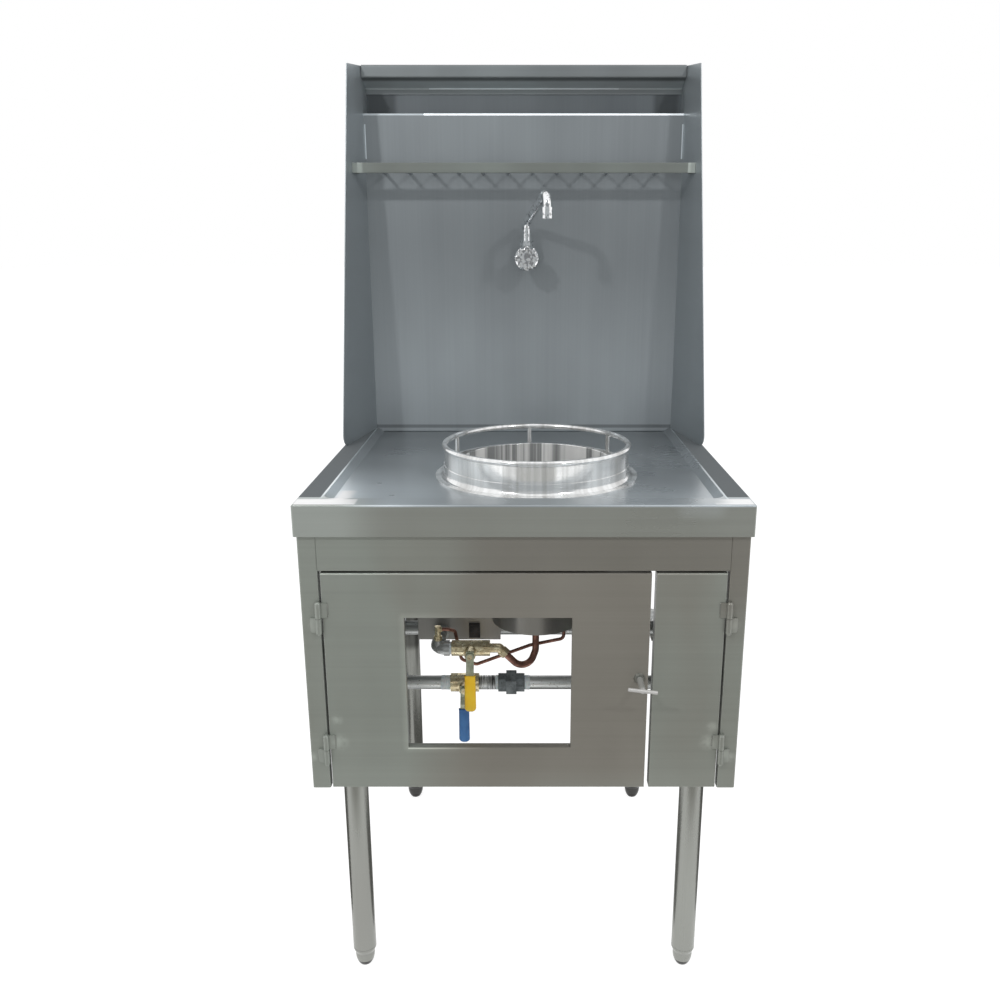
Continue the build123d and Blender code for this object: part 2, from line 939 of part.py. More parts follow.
ring_axis = axis_up(ring_x, ring_y)
ring_centre = Axis((ring_x, ring_y, 0), (0, 0, 1))
collar_top = field_height + collar_height
hoop_height = field_height + hoop_rise - hoop_bar_radius
with BuildPart() as wok_ring:
    with BuildSketch(ring_axis):
        disc(hoop_radius, hoop_height, hoop_bar_radius)
    revolve(axis=ring_centre)
    with BuildSketch(Plane.XY.offset(collar_top)):
        for number in range(post_count):
            angle = radians(post_first + number * post_step)
            disc(ring_x + hoop_radius * cos(angle), ring_y + hoop_radius * sin(angle), post_radius)
    extrude(amount=hoop_height - collar_top)
keep(wok_ring, "wok_ring")

# The shield stands round the front half and a little past it on both sides
with BuildPart() as ring_shield:
    shield_start = radians((shield_span - 180) / 2)
    with BuildSketch(axis_up(ring_x, ring_y, shield_start)):
        shield_inner = hoop_radius - shield_sheet / 2
        shield_top = hoop_height - hoop_bar_radius
        stretch(shield_inner, shield_inner + shield_sheet, collar_top, shield_top)
    revolve(axis=ring_centre, revolution_arc=-shield_span)
keep(ring_shield, "ring_shield")

# The spun collar: a flat foot, a cove and an upright wall
with BuildPart() as ring_collar:
    collar_inner = hoop_radius - collar_wall / 2
    collar_outer = hoop_radius + collar_wall / 2
    foot_top = field_height + collar_foot_thickness
    with BuildSketch(ring_axis):
        with BuildLine():
            Polyline(
                (collar_outer, foot_top + collar_cove),
                (collar_outer, collar_top),
                (collar_inner, collar_top),
                (collar_inner, field_height),
                (collar_foot_radius, field_height),
                (collar_foot_radius, foot_top),
                (collar_outer + collar_cove, foot_top),
            )
            RadiusArc(
                (collar_outer + collar_cove, foot_top),
                (collar_outer, foot_top + collar_cove),
                collar_cove,
            )
        make_face()
    revolve(axis=ring_centre)
keep(ring_collar, "ring_collar")


# ---------------------------------------------------------------- chamber, shroud and burner

chamber_outer = chamber_radius + chamber_wall
chamber_bottom = field_height - chamber_depth
bowl_bottom = chamber_bottom - bowl_depth
neck_bore = shroud_radius + slack
neck_outer = neck_bore + chamber_wall
with BuildPart() as chamber_liner:
    # A rolled drum, its deck flange, a bowl and a neck, each butted to the next with a weld's root gap
    chamber_top = field_height + chamber_rise
    bowl_top = chamber_bottom - weld_root
    flange_bore = chamber_outer + weld_root
    flange_top = field_height + chamber_wall
    drum(ring_axis, chamber_bottom, chamber_top, chamber_outer, chamber_radius)
    drum(ring_axis, field_height, flange_top, chamber_flange_radius, flange_bore)
    turned(
        ring_axis,
        (chamber_outer, bowl_top),
        (neck_outer, bowl_bottom),
        (neck_bore, bowl_bottom),
        (chamber_radius, bowl_top),
    )
    drum(ring_axis, bowl_bottom - neck_depth, bowl_bottom - weld_root, neck_outer, neck_bore)
    rim_edges = chamber_liner.faces().sort_by(Axis.Z)[-1].edges()
    fillet(rim_edges, radius=chamber_edge)
keep(chamber_liner, "chamber_liner")

shroud_bore = shroud_radius - shroud_wall
with BuildPart() as burner_shroud:
    drum(ring_axis, shroud_bottom, bowl_bottom, shroud_radius, shroud_bore)
keep(burner_shroud, "burner_shroud")

pilot_x = ring_x + pilot_offset
with BuildPart() as burner_strap:
    with BuildSketch(Plane.XY.offset(strap_height)):
        disc(ring_x, ring_y, shroud_bore - slack)
        with Locations((ring_x, ring_y)):
            Rectangle(2 * shroud_radius, strap_width, mode=Mode.INTERSECT)
        disc(ring_x, ring_y, injector_radius + slack, mode=Mode.SUBTRACT)
        disc(pilot_x, ring_y, pilot_radius + slack, mode=Mode.SUBTRACT)
    extrude(amount=-strap_thickness)
keep(burner_strap, "burner_strap")

# The cast burner: an injector below, a mixing neck and a head with a ring of ports
injector_bottom = strap_height - strap_thickness - injector_length
with BuildPart() as burner:
    neck_start = strap_height + burner_base_height
    head_bottom = strap_height + burner_neck_height
    head_top = head_bottom + burner_head_height
    turned(
        ring_axis,
        (burner_bore, injector_bottom),
        (injector_radius, injector_bottom),
        (injector_radius, strap_height),
        (burner_base_radius, strap_height),
        (burner_base_radius, neck_start),
        (burner_neck_radius, neck_start + burner_base_height),
        (burner_neck_radius, head_bottom),
        (burner_head_radius, head_bottom + burner_head_height / 2),
        (burner_head_radius, head_top),
        (burner_bore, head_top),
    )
    with BuildSketch(Plane.XY.offset(head_top)):
        with Locations((ring_x, ring_y)):
            with PolarLocations(burner_port_ring, burner_port_count):
                Circle(burner_port_radius)
    extrude(amount=burner_port_height)
    with BuildSketch(Plane.XY.offset(head_top + burner_port_height)):
        with Locations((ring_x, ring_y)):
            with PolarLocations(burner_port_ring, burner_port_count):
                Circle(burner_port_bore)
    extrude(amount=-burner_port_height, mode=Mode.SUBTRACT)
keep(burner, "burner")

pilot_axis = axis_up(pilot_x, ring_y)
pilot_bottom = strap_height - strap_thickness - pilot_nut_height
with BuildPart() as pilot_burner:
    drum(pilot_axis, pilot_bottom, strap_height + pilot_height, pilot_radius)
    hexagon(pilot_axis, pilot_bottom, strap_height - strap_thickness, pilot_nut_radius)
    # The gas way, and a slot for air below the tip
    pilot_bore = pilot_tube_radius - pilot_tube_wall
    drum(pilot_axis, pilot_bottom, strap_height + pilot_height, pilot_bore, mode=Mode.SUBTRACT)
    with BuildSketch(upright(ring_y)):
        block(pilot_x, strap_height + pilot_height / 2, pilot_radius, pilot_slot_height)
    extrude(amount=pilot_radius, mode=Mode.SUBTRACT)
keep(pilot_burner, "pilot_burner")


# ---------------------------------------------------------------- gas line


def bent_fitting(corner, body, collar, collar_length, reach, bend, socket, depth, bore):
    """An elbow whose arms run along the corner plane's local x and local y."""
    with BuildLine(corner) as way:
        FilletPolyline((reach, 0), (0, 0), (0, reach), radius=bend)
    path = way.line
    ends = [Plane(origin=path @ 0, z_dir=path % 0), Plane(origin=path @ 1, z_dir=-(path % 1))]
    with BuildSketch(ends[0]) as outside:
        Circle(body)
    sweep(outside.sketch, path=path)
    for end in ends:
        with BuildSketch(end) as ring:
            Circle(collar)
        extrude(ring.sketch, amount=collar_length)
    with BuildSketch(ends[0]) as inside:
        Circle(bore)
    sweep(inside.sketch, path=path, mode=Mode.SUBTRACT)
    for end in ends:
        with BuildSketch(end) as ring:
            Circle(socket)
        extrude(ring.sketch, amount=depth, mode=Mode.SUBTRACT)


supply_axis = axis_right(pipe_y, supply_height)
manifold_axis = axis_right(pipe_y, manifold_height)
riser_axis = axis_up(riser_x, pipe_y)
inlet_axis = axis_back(inlet_x, supply_height)
elbow_inside = elbow_reach - pipe_engagement
valve_left = valve_x - valve_length / 2
valve_right = valve_x + valve_length / 2
union_left = union_x - union_length / 2
union_right = union_x + union_length / 2
inlet_end = back_y - inlet_end_gap
inlet_thread_start = inlet_end - inlet_thread_length
supply_runs = (
    (supply_axis, riser_x + elbow_inside, valve_left + pipe_engagement),
    (supply_axis, union_right - pipe_engagement, inlet_x - elbow_inside),
    (riser_axis, supply_height + elbow_inside, manifold_height - elbow_inside),
    (inlet_axis, pipe_y + elbow_inside, inlet_thread_start),
)
with BuildPart() as supply_pipes:
    for run_axis, run_start, run_end in supply_runs:
        drum(run_axis, run_start, run_end, pipe_radius, pipe_bore)
    drum(inlet_axis, inlet_thread_start, inlet_end, inlet_thread_radius, pipe_bore)
keep(supply_pipes, "supply_pipes")

with BuildPart() as pipe_elbows:
    for elbow_x, elbow_z, first, second in (
        (riser_x, supply_height, (1, 0, 0), (0, 0, 1)),
        (riser_x, manifold_height, (1, 0, 0), (0, 0, -1)),
        (inlet_x, supply_height, (-1, 0, 0), (0, 1, 0)),
    ):
        bent_fitting(
            Plane(
                origin=(elbow_x, pipe_y, elbow_z),
                x_dir=first,
                z_dir=Vector(first).cross(Vector(second)),
            ),
            elbow_body_radius,
            elbow_collar_radius,
            elbow_collar_length,
            elbow_reach,
            elbow_bend,
            pipe_socket,
            pipe_engagement,
            pipe_bore,
        )
keep(pipe_elbows, "pipe_elbows")

# The manifold is capped at its right end and has a welded outlet towards the front
with BuildPart() as manifold_pipe:
    drum(manifold_axis, riser_x + elbow_inside, manifold_end_x, pipe_radius)
    cap_start = manifold_end_x - manifold_cap_length
    drum(manifold_axis, cap_start, manifold_end_x, elbow_collar_radius)
    outlet_axis = axis_back(branch_x, manifold_height)
    outlet_front = pipe_y - manifold_outlet_reach
    drum(outlet_axis, outlet_front, pipe_y, manifold_outlet_radius)
    bore_end = manifold_end_x - pipe_engagement
    drum(manifold_axis, riser_x, bore_end, pipe_bore, mode=Mode.SUBTRACT)
    drum(outlet_axis, outlet_front, pipe_y, branch_bore, mode=Mode.SUBTRACT)
    outlet_stop = outlet_front + branch_engagement
    drum(outlet_axis, outlet_front, outlet_stop, branch_socket, mode=Mode.SUBTRACT)
keep(manifold_pipe, "manifold_pipe")

# One bracket holds the riser, the other carries the manifold's right end
panel_inner_x = side_half - panel_sheet
with BuildPart() as pipe_brackets:
    with BuildSketch(Plane.XY.offset(bracket_level)):
        stretch(-panel_inner_x, riser_x, pipe_y, pipe_y + bracket_thickness)
        disc(riser_x, pipe_y, pipe_socket + bracket_wall)
        half_foot = bracket_foot / 2
        foot_inner_x = bracket_thickness - panel_inner_x
        stretch(-panel_inner_x, foot_inner_x, pipe_y - half_foot, pipe_y + half_foot)
        disc(riser_x, pipe_y, pipe_socket, mode=Mode.SUBTRACT)
    extrude(amount=bracket_height)
    with BuildSketch(upright(pipe_y - bracket_height / 2)):
        shelf_top = manifold_height - elbow_collar_radius
        shelf_x = cap_start - bracket_thickness
        folded(
            (
                (panel_inner_x, shelf_top - bracket_foot),
                (panel_inner_x, shelf_top),
                (shelf_x, shelf_top),
            ),
            bracket_thickness,
            Side.LEFT,
            bracket_thickness + sheet_bend,
        )
    extrude(amount=-bracket_height)
keep(pipe_brackets, "pipe_brackets")

with BuildPart() as union_ends:
    for turn in (-1, 1):
        near = union_x + turn * union_spigot_length
        far = union_x + turn * union_length / 2
        hexagon(supply_axis, near, far, union_body_radius, sides=8)
        drum(supply_axis, union_x + turn * slack / 2, near, union_spigot_radius)
        drum(supply_axis, far - turn * pipe_engagement, far, pipe_socket, mode=Mode.SUBTRACT)
    drum(supply_axis, union_left, union_right, pipe_bore, mode=Mode.SUBTRACT)
keep(union_ends, "union_ends")

with BuildPart() as union_nut:
    nut_left = union_x - union_nut_length / 2
    nut_right = union_x + union_nut_length / 2
    hexagon(supply_axis, nut_left, nut_right, union_nut_radius)
    nut_bore = union_body_radius + slack
    drum(supply_axis, nut_left, nut_right, nut_bore, mode=Mode.SUBTRACT)
keep(union_nut, "union_nut")

branch_axis = axis_right(branch_y, manifold_height)
branch_elbow_inside = branch_elbow_reach - branch_engagement
burner_valve_left = burner_valve_x - burner_valve_length / 2
burner_valve_right = burner_valve_x + burner_valve_length / 2
with BuildPart() as pipe_nipples:
    nipple_start = valve_right - pipe_engagement
    drum(supply_axis, nipple_start, union_left + pipe_engagement, pipe_radius, pipe_bore)
    drum(outlet_axis, branch_y + branch_elbow_inside, outlet_stop, branch_radius, branch_bore)
    branch_end = burner_valve_left + branch_engagement
    drum(branch_axis, branch_x + branch_elbow_inside, branch_end, branch_radius, branch_bore)
keep(pipe_nipples, "pipe_nipples")


# ---------------------------------------------------------------- ball valves with levers


def valve_body(way, side, length, body, hex_radius, hex_length, ball, bore, socket, depth):
    """A ball valve's body along its way, with a boss for the stem in front."""
    middle = side.origin.X
    low, high = middle - length / 2, middle + length / 2
    front = way.origin.Y - stem_boss_reach
    drum(way, low, high, body)
    drum(side, front, way.origin.Y, stem_boss_radius)
    hexagon(way, low, low + hex_length, hex_radius)
    hexagon(way, high - hex_length, high, hex_radius)
    drum(way, low, high, bore, mode=Mode.SUBTRACT)
    drum(way, low, low + depth, socket, mode=Mode.SUBTRACT)
    drum(way, high - depth, high, socket, mode=Mode.SUBTRACT)
    with Locations((middle, way.origin.Y, way.origin.Z)):
        Sphere(ball + slack, mode=Mode.SUBTRACT)
    drum(side, front, way.origin.Y, stem_radius + stem_fit, mode=Mode.SUBTRACT)


def valve_ball(side, way_y, ball, bore):
    """A ball, closed at rest, with the stem that carries the lever."""
    with Locations((side.origin.X, way_y, side.origin.Z)):
        Sphere(ball)
    front = way_y - stem_boss_reach - lever_thickness - lever_nut_height
    drum(side, front, way_y, stem_radius)
    upright_axis = axis_up(side.origin.X, way_y)
    drum(upright_axis, side.origin.Z - ball, side.origin.Z + ball, bore, mode=Mode.SUBTRACT)


def valve_lever(side, way_y):
    """A stepped lever plate that hangs down from the stem, with the nut that holds it."""
    plate_y = way_y - stem_boss_reach
    step_y = plate_y - lever_step
    pivot_z = side.origin.Z
    with BuildSketch(crosswise(side.origin.X)) as strip:
        folded(
            (
                (plate_y, pivot_z + lever_heel),
                (plate_y, pivot_z - lever_step_start),
                (step_y, pivot_z - lever_step_end),
                (step_y, pivot_z - lever_length + grip_wall),
            ),
            lever_thickness,
            Side.RIGHT,
            lever_bend,
        )
    extrude(strip.sketch, amount=lever_width / 2, both=True)
    nut_y = plate_y - lever_thickness
    hexagon(side, nut_y - lever_nut_height, nut_y, lever_nut_radius)
    drum(side, nut_y - lever_nut_height, plate_y, stem_radius, mode=Mode.SUBTRACT)


def lever_grip(side, way_y):
    """A rounded sleeve over the lower part of a lever."""
    plate_y = way_y - stem_boss_reach - lever_step
    grip_y = plate_y - lever_thickness / 2
    low, high = side.origin.Z - lever_length, side.origin.Z - grip_start
    with BuildSketch(Plane.XY.offset(low)) as sleeve:
        with Locations((side.origin.X, grip_y)):
            RectangleRounded(grip_width, grip_thickness, grip_thickness / 2 - slack)
    extrude(sleeve.sketch, amount=high - low)
    fillet(faces().sort_by(Axis.Z)[0].edges(), radius=grip_wall)
    with BuildSketch(Plane.XY.offset(high)) as slot:
        block(side.origin.X, grip_y, lever_width, lever_thickness)
    extrude(slot.sketch, amount=low + grip_wall - high, mode=Mode.SUBTRACT)


main_stem = axis_back(valve_x, supply_height)
with BuildPart() as main_valve_body:
    valve_body(
        supply_axis,
        main_stem,
        valve_length,
        valve_body_radius,
        valve_hex_radius,
        valve_hex_length,
        valve_ball_radius,
        valve_ball_bore,
        pipe_socket,
        pipe_engagement,
    )
keep(main_valve_body, "main_valve_body")

with BuildPart() as main_valve_ball:
    valve_ball(main_stem, pipe_y, valve_ball_radius, valve_ball_bore)
keep(main_valve_ball, "main_valve_ball")

with BuildPart() as main_valve_lever:
    valve_lever(main_stem, pipe_y)
keep(main_valve_lever, "main_valve_lever")

with BuildPart() as main_valve_grip:
    lever_grip(main_stem, pipe_y)
keep(main_valve_grip, "main_valve_grip")

burner_stem = axis_back(burner_valve_x, manifold_height)
with BuildPart() as burner_valve_body:
    valve_body(
        branch_axis,
        burner_stem,
        burner_valve_length,
        burner_valve_body_radius,
        burner_valve_hex_radius,
        burner_valve_hex_length,
        burner_valve_ball_radius,
        burner_valve_ball_bore,
        branch_socket,
        branch_engagement,
    )
keep(burner_valve_body, "burner_valve_body")

with BuildPart() as burner_valve_ball:
    valve_ball(burner_stem, branch_y, burner_valve_ball_radius, burner_valve_ball_bore)
keep(burner_valve_ball, "burner_valve_ball")

with BuildPart() as burner_valve_lever:
    valve_lever(burner_stem, branch_y)
keep(burner_valve_lever, "burner_valve_lever")

with BuildPart() as burner_valve_grip:
    lever_grip(burner_stem, branch_y)
keep(burner_valve_grip, "burner_valve_grip")


# ---------------------------------------------------------------- branch and copper tubes

# The branch elbow carries a boss for the pilot valve
pilot_valve_axis = axis_up(branch_x, branch_y)
pilot_valve_bottom = manifold_height + pilot_boss_height
with BuildPart() as branch_elbow:
    drum(pilot_valve_axis, manifold_height, pilot_valve_bottom, pilot_boss_radius)
    bent_fitting(
        Plane(origin=(branch_x, branch_y, manifold_height), x_dir=(1, 0, 0), z_dir=(0, 0, 1)),
        branch_elbow_body,
        branch_elbow_collar,
        branch_elbow_collar_length,
        branch_elbow_reach,
        branch_elbow_bend,
        branch_socket,
        branch_engagement,
        branch_bore,
    )
keep(branch_elbow, "branch_elbow")

pilot_outlet_height = pilot_valve_bottom + pilot_valve_outlet
with BuildPart() as pilot_valve:
    valve_top = pilot_valve_bottom + pilot_valve_height
    hex_top = pilot_valve_bottom + pilot_valve_hex_height
    drum(pilot_valve_axis, pilot_valve_bottom, valve_top, pilot_valve_radius)
    hexagon(pilot_valve_axis, pilot_valve_bottom, hex_top, pilot_valve_hex_radius)
    pilot_outlet = axis_right(branch_y, pilot_outlet_height)
    hexagon(pilot_outlet, branch_x, branch_x + pilot_valve_arm, pilot_valve_radius - slack)
keep(pilot_valve, "pilot_valve")

# One arm of the flare elbow enters the burner valve, the other points down to the right
flare_corner = Vector(flare_x, branch_y, manifold_height)
flare_direction = Vector(1, 0, -1).normalized()
flare_end = flare_corner + flare_direction * flare_arm
with BuildPart() as flare_elbow:
    with Locations(flare_corner):
        Sphere(flare_radius)
    drum(branch_axis, burner_valve_right, flare_x, flare_radius)
    shank_start = burner_valve_right - branch_engagement
    drum(branch_axis, shank_start, burner_valve_right, branch_radius)
    with BuildSketch(Plane(origin=flare_corner, z_dir=flare_direction)):
        Circle(flare_radius)
    extrude(amount=flare_arm)
    with BuildSketch(Plane(origin=flare_end, z_dir=-flare_direction)):
        RegularPolygon(flare_nut_radius, 6)
    extrude(amount=flare_nut_length)
    drum(branch_axis, shank_start, flare_x, flare_bore, mode=Mode.SUBTRACT)
    with BuildSketch(Plane(origin=flare_corner, z_dir=flare_direction)):
        Circle(flare_bore)
    extrude(amount=flare_arm, mode=Mode.SUBTRACT)
keep(flare_elbow, "flare_elbow")


def copper_tube(points, radius, wall, bend):
    """A tube with a round bend at each inner point."""
    with BuildLine() as way:
        FilletPolyline(*points, radius=bend)
    path = way.wires()[0]
    for section_radius, mode in ((radius, Mode.ADD), (radius - wall, Mode.SUBTRACT)):
        with BuildSketch(Plane(origin=path @ 0, z_dir=path % 0)) as section:
            Circle(section_radius)
        sweep(section.sketch, path=path, mode=mode)


burner_tube_points = (
    flare_end,
    flare_end + flare_direction * burner_tube_lead,
    (ring_x, branch_y + burner_tube_stand_off, shroud_bottom - burner_tube_sag),
    (ring_x, ring_y, injector_bottom),
)
with BuildPart() as burner_tube:
    copper_tube(burner_tube_points, burner_tube_radius, burner_tube_wall, burner_tube_bend)
keep(burner_tube, "burner_tube")

# The thin tube steps back from its valve, falls behind the burner valve and dips to the pilot
pilot_tube_start = branch_x + pilot_valve_arm
pilot_tube_corner = pilot_tube_start + pilot_tube_lead + pilot_tube_step
pilot_tube_points = (
    (pilot_tube_start, branch_y, pilot_outlet_height),
    (pilot_tube_start + pilot_tube_lead, branch_y, pilot_outlet_height),
    (pilot_tube_corner, branch_y + pilot_tube_back / 2, pilot_outlet_height - pilot_tube_step),
    (
        pilot_tube_corner + pilot_tube_step,
        branch_y + pilot_tube_back,
        pilot_outlet_height - pilot_tube_fall + pilot_tube_step,
    ),
    (
        pilot_tube_corner + pilot_tube_step + pilot_tube_run,
        branch_y + pilot_tube_back,
        pilot_outlet_height - pilot_tube_fall,
    ),
    (ring_x - pilot_tube_step, ring_y + pilot_tube_lead, pilot_bottom - pilot_tube_dip),
    (pilot_x, ring_y, pilot_bottom - pilot_tube_rise),
    (pilot_x, ring_y, pilot_bottom),
)
with BuildPart() as pilot_tube:
    copper_tube(pilot_tube_points, pilot_tube_radius, pilot_tube_wall, pilot_tube_bend)
keep(pilot_tube, "pilot_tube")


# ---------------------------------------------------------------- faucet

faucet_z = deck_height + faucet_height
riser_y = splash_y - faucet_riser_reach
body_front_y = splash_y - faucet_body_length
tail_y = back_y + faucet_tail
locknut_end = flue_back_y + faucet_nut_thickness
spout_axis = axis_up(faucet_x, riser_y)
boss_top = faucet_z + faucet_boss_height
socket_floor = faucet_z + faucet_socket_start
spout_bore = spout_radius + spout_fit
with BuildPart() as faucet_body:
    drum(faucet_axis, body_front_y, splash_y - faucet_flange_thickness, faucet_body_radius)
    drum(faucet_axis, splash_y - faucet_flange_thickness, locknut_end, faucet_shank_radius)
    drum(faucet_axis, locknut_end, tail_y, faucet_tail_radius)
    drum(spout_axis, faucet_z, boss_top, faucet_boss_radius)
    drum(spout_axis, socket_floor, boss_top, spout_bore, mode=Mode.SUBTRACT)
    drum(faucet_axis, riser_y, tail_y, faucet_shank_bore, mode=Mode.SUBTRACT)
    drum(spout_axis, faucet_z, socket_floor, faucet_shank_bore, mode=Mode.SUBTRACT)
    stem_end = body_front_y + knob_stem_depth
    drum(faucet_axis, body_front_y, stem_end, knob_stem_radius + knob_stem_fit, mode=Mode.SUBTRACT)
keep(faucet_body, "faucet_body")

with BuildPart() as faucet_flange:
    turned(
        faucet_axis,
        (shank_hole, splash_y),
        (faucet_flange_radius, splash_y),
        (faucet_flange_radius, splash_y - faucet_flange_edge),
        (faucet_body_radius, splash_y - faucet_flange_thickness),
        (shank_hole, splash_y - faucet_flange_thickness),
    )
keep(faucet_flange, "faucet_flange")

# A lock nut behind the flue and a packing nut round the foot of the spout
with BuildPart() as faucet_nuts:
    hexagon(faucet_axis, flue_back_y, locknut_end, faucet_nut_radius)
    drum(faucet_axis, flue_back_y, locknut_end, shank_hole, mode=Mode.SUBTRACT)
    packing_top = boss_top + packing_nut_height
    hexagon(spout_axis, boss_top, packing_top, packing_nut_radius)
    drum(spout_axis, boss_top, packing_top, spout_radius + slack, mode=Mode.SUBTRACT)
keep(faucet_nuts, "faucet_nuts")

# The spout rises, turns towards the front and ends in a drop
swing = radians(spout_swing)
spout_foot = socket_floor + slack
arm_height = faucet_z + spout_rise + spout_lift
spout_plane = Plane(
    origin=(faucet_x, riser_y, 0),
    x_dir=(sin(swing), -cos(swing), 0),
    z_dir=(-cos(swing), -sin(swing), 0),
)
with BuildPart() as faucet_spout:
    with BuildLine(spout_plane) as spout_way:
        FilletPolyline(
            (0, spout_foot),
            (0, faucet_z + spout_rise),
            (spout_length, arm_height),
            (spout_length, arm_height - spout_drop),
            radius=spout_bend,
        )
    spout_path = spout_way.line
    with BuildSketch(Plane(origin=spout_path @ 0, z_dir=spout_path % 0)):
        Circle(spout_radius)
        Circle(spout_radius - spout_wall, mode=Mode.SUBTRACT)
    sweep(path=spout_path)
keep(faucet_spout, "faucet_spout")

with BuildPart() as aerator:
    spout_end = spout_path @ 1
    aerator_top = spout_end.Z + aerator_lap
    aerator_axis = axis_up(spout_end.X, spout_end.Y)
    drum(aerator_axis, aerator_top - aerator_length, spout_end.Z, aerator_radius, aerator_bore)
    drum(aerator_axis, spout_end.Z, aerator_top, aerator_radius, spout_bore)
keep(aerator, "aerator")

with BuildPart() as faucet_knob:
    knob_rear_y = body_front_y - knob_gap
    lobe_ring = knob_radius - knob_lobe_radius
    with BuildSketch(upright(knob_rear_y)):
        with Locations((faucet_x, faucet_z)):
            Circle(knob_body_radius)
            with PolarLocations(lobe_ring, knob_lobes):
                Circle(knob_lobe_radius)
    extrude(amount=knob_length)
    fillet(faucet_knob.faces().sort_by(Axis.Y)[0].edges(), radius=knob_edge)
    drum(faucet_axis, knob_rear_y, stem_end - slack, knob_stem_radius)
keep(faucet_knob, "faucet_knob")
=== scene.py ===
import bpy
import numpy as np
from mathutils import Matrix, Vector


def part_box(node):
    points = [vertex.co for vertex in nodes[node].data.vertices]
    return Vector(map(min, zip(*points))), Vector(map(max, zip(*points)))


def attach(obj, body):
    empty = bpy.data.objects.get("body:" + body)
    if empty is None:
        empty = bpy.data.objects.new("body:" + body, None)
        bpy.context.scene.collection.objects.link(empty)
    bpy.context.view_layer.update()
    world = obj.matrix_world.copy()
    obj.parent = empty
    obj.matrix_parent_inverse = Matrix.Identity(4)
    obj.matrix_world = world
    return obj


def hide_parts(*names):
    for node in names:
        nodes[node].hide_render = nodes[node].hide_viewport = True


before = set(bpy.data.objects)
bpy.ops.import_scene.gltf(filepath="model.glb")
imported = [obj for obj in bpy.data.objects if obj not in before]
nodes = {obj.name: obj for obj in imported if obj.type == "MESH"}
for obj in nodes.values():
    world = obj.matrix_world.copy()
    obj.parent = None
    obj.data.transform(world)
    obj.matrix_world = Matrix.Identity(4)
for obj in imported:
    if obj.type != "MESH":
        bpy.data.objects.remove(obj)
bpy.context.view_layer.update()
print("frame loaded:", len(nodes), "nodes")


def middleOf(node):
    # the middle of a node's box
    low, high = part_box(node)
    return (low + high) / 2


# camera: eye height, distance and tilt read from the photograph's perspective
camera = {"place": (0, -1.6555, 1.268), "tilt": 74.5, "sensor": 36, "lens": 32.9, "shift": -0.0238}


def placeCamera(look):
    data = bpy.data.cameras.new("studioCamera")
    data.sensor_width = look["sensor"]
    data.lens = look["lens"]
    data.shift_x = look["shift"]
    eye = bpy.data.objects.new("studioCamera", data)
    eye.location = look["place"]
    eye.rotation_euler = (np.radians(look["tilt"]), 0, 0)
    bpy.context.scene.collection.objects.link(eye)
    bpy.context.scene.camera = eye
    bpy.context.scene.view_settings.view_transform = "Standard"


placeCamera(camera)
print("camera placed")


class Wire:
    # one output socket of a node tree; arithmetic on it adds Math nodes

    def __init__(self, tree, socket=None):
        self.tree = tree
        self.socket = socket

    def node(self, kind, settings=None, sockets=None, output=0):
        # a new node with its settings and the values or links of its inputs; the chosen output goes on
        added = self.tree.nodes.new("ShaderNode" + kind)
        for name, value in (settings or {}).items():
            setattr(added, name, value)
        for key, value in (sockets or {}).items():
            if isinstance(value, Wire):
                self.tree.links.new(value.socket, added.inputs[key])
            else:
                added.inputs[key].default_value = value
        return Wire(self.tree, added.outputs[output] if added.outputs else None)

    def math(self, operation, first, second):
        return self.node("Math", {"operation": operation}, {0: first, 1: second})

    def vector(self, operation, *values, output="Vector"):
        # each value is a wire or three numbers
        return self.node("VectorMath", {"operation": operation}, dict(enumerate(values)), output)

    def __add__(self, other):
        return self.math("ADD", self, other)

    def __sub__(self, other):
        return self.math("SUBTRACT", self, other)

    def __rsub__(self, other):
        return self.math("SUBTRACT", other, self)

    def __mul__(self, other):
        return self.math("MULTIPLY", self, other)

    def highest(self, other):
        return self.math("MAXIMUM", self, other)

    __radd__ = __add__
    __rmul__ = __mul__


def noise(place, stretch, detail=2, roughness=0.5):
    # cloudy noise with a grain of its own size along each axis
    scaled = place.node("Mapping", None, {"Vector": place, "Scale": stretch})
    sockets = {"Vector": scaled, "Scale": 1, "Detail": detail, "Roughness": roughness}
    return place.node("TexNoise", None, sockets)


def ease(value, low, high):
    # 0 below low, 1 above high, and a smooth step between them
    sockets = {"Value": value, "From Min": low, "From Max": high}
    return value.node("MapRange", {"interpolation_type": "SMOOTHSTEP"}, sockets)


def tinted(below, above, factor):
    # two colours, each a wire or three numbers, blended by the factor; in a Mix node, sockets 6 and 7 and
    # output 2 are the colours
    first, second = (value if isinstance(value, Wire) else (*value, 1) for value in (below, above))
    return factor.node("Mix", {"data_type": "RGBA"}, {0: factor, 6: first, 7: second}, output=2)


def shaded(colour, amount):
    # a colour times a number, through a colour node
    grey = amount.node("CombineColor", None, {0: amount, 1: amount, 2: amount})
    settings = {"data_type": "RGBA", "blend_type": "MULTIPLY"}
    return amount.node("Mix", settings, {0: 1.0, 6: colour, 7: grey}, output=2)


def patch(place, centre, half, soft):
    # 1 inside a box of the given half sizes, falling smoothly to 0 over the soft distance around it
    mirrored = place.vector("ABSOLUTE", place.vector("SUBTRACT", place, centre))
    outside = place.vector("MAXIMUM", place.vector("SUBTRACT", mirrored, half), (0, 0, 0))
    return 1 - ease(place.vector("LENGTH", outside, output="Value"), 0, soft)


def paintLight(colour, paintedLight, place, facing=1):
    # the colour times 1 plus the gain of each painted highlight, reflection or shade inside its patch, as
    # far as the surface is facing
    if not paintedLight:
        return colour
    lift = 1
    for centre, half, soft, gain in paintedLight:
        lift = patch(place, centre, half, soft) * facing * gain + lift
    return shaded(colour, lift)


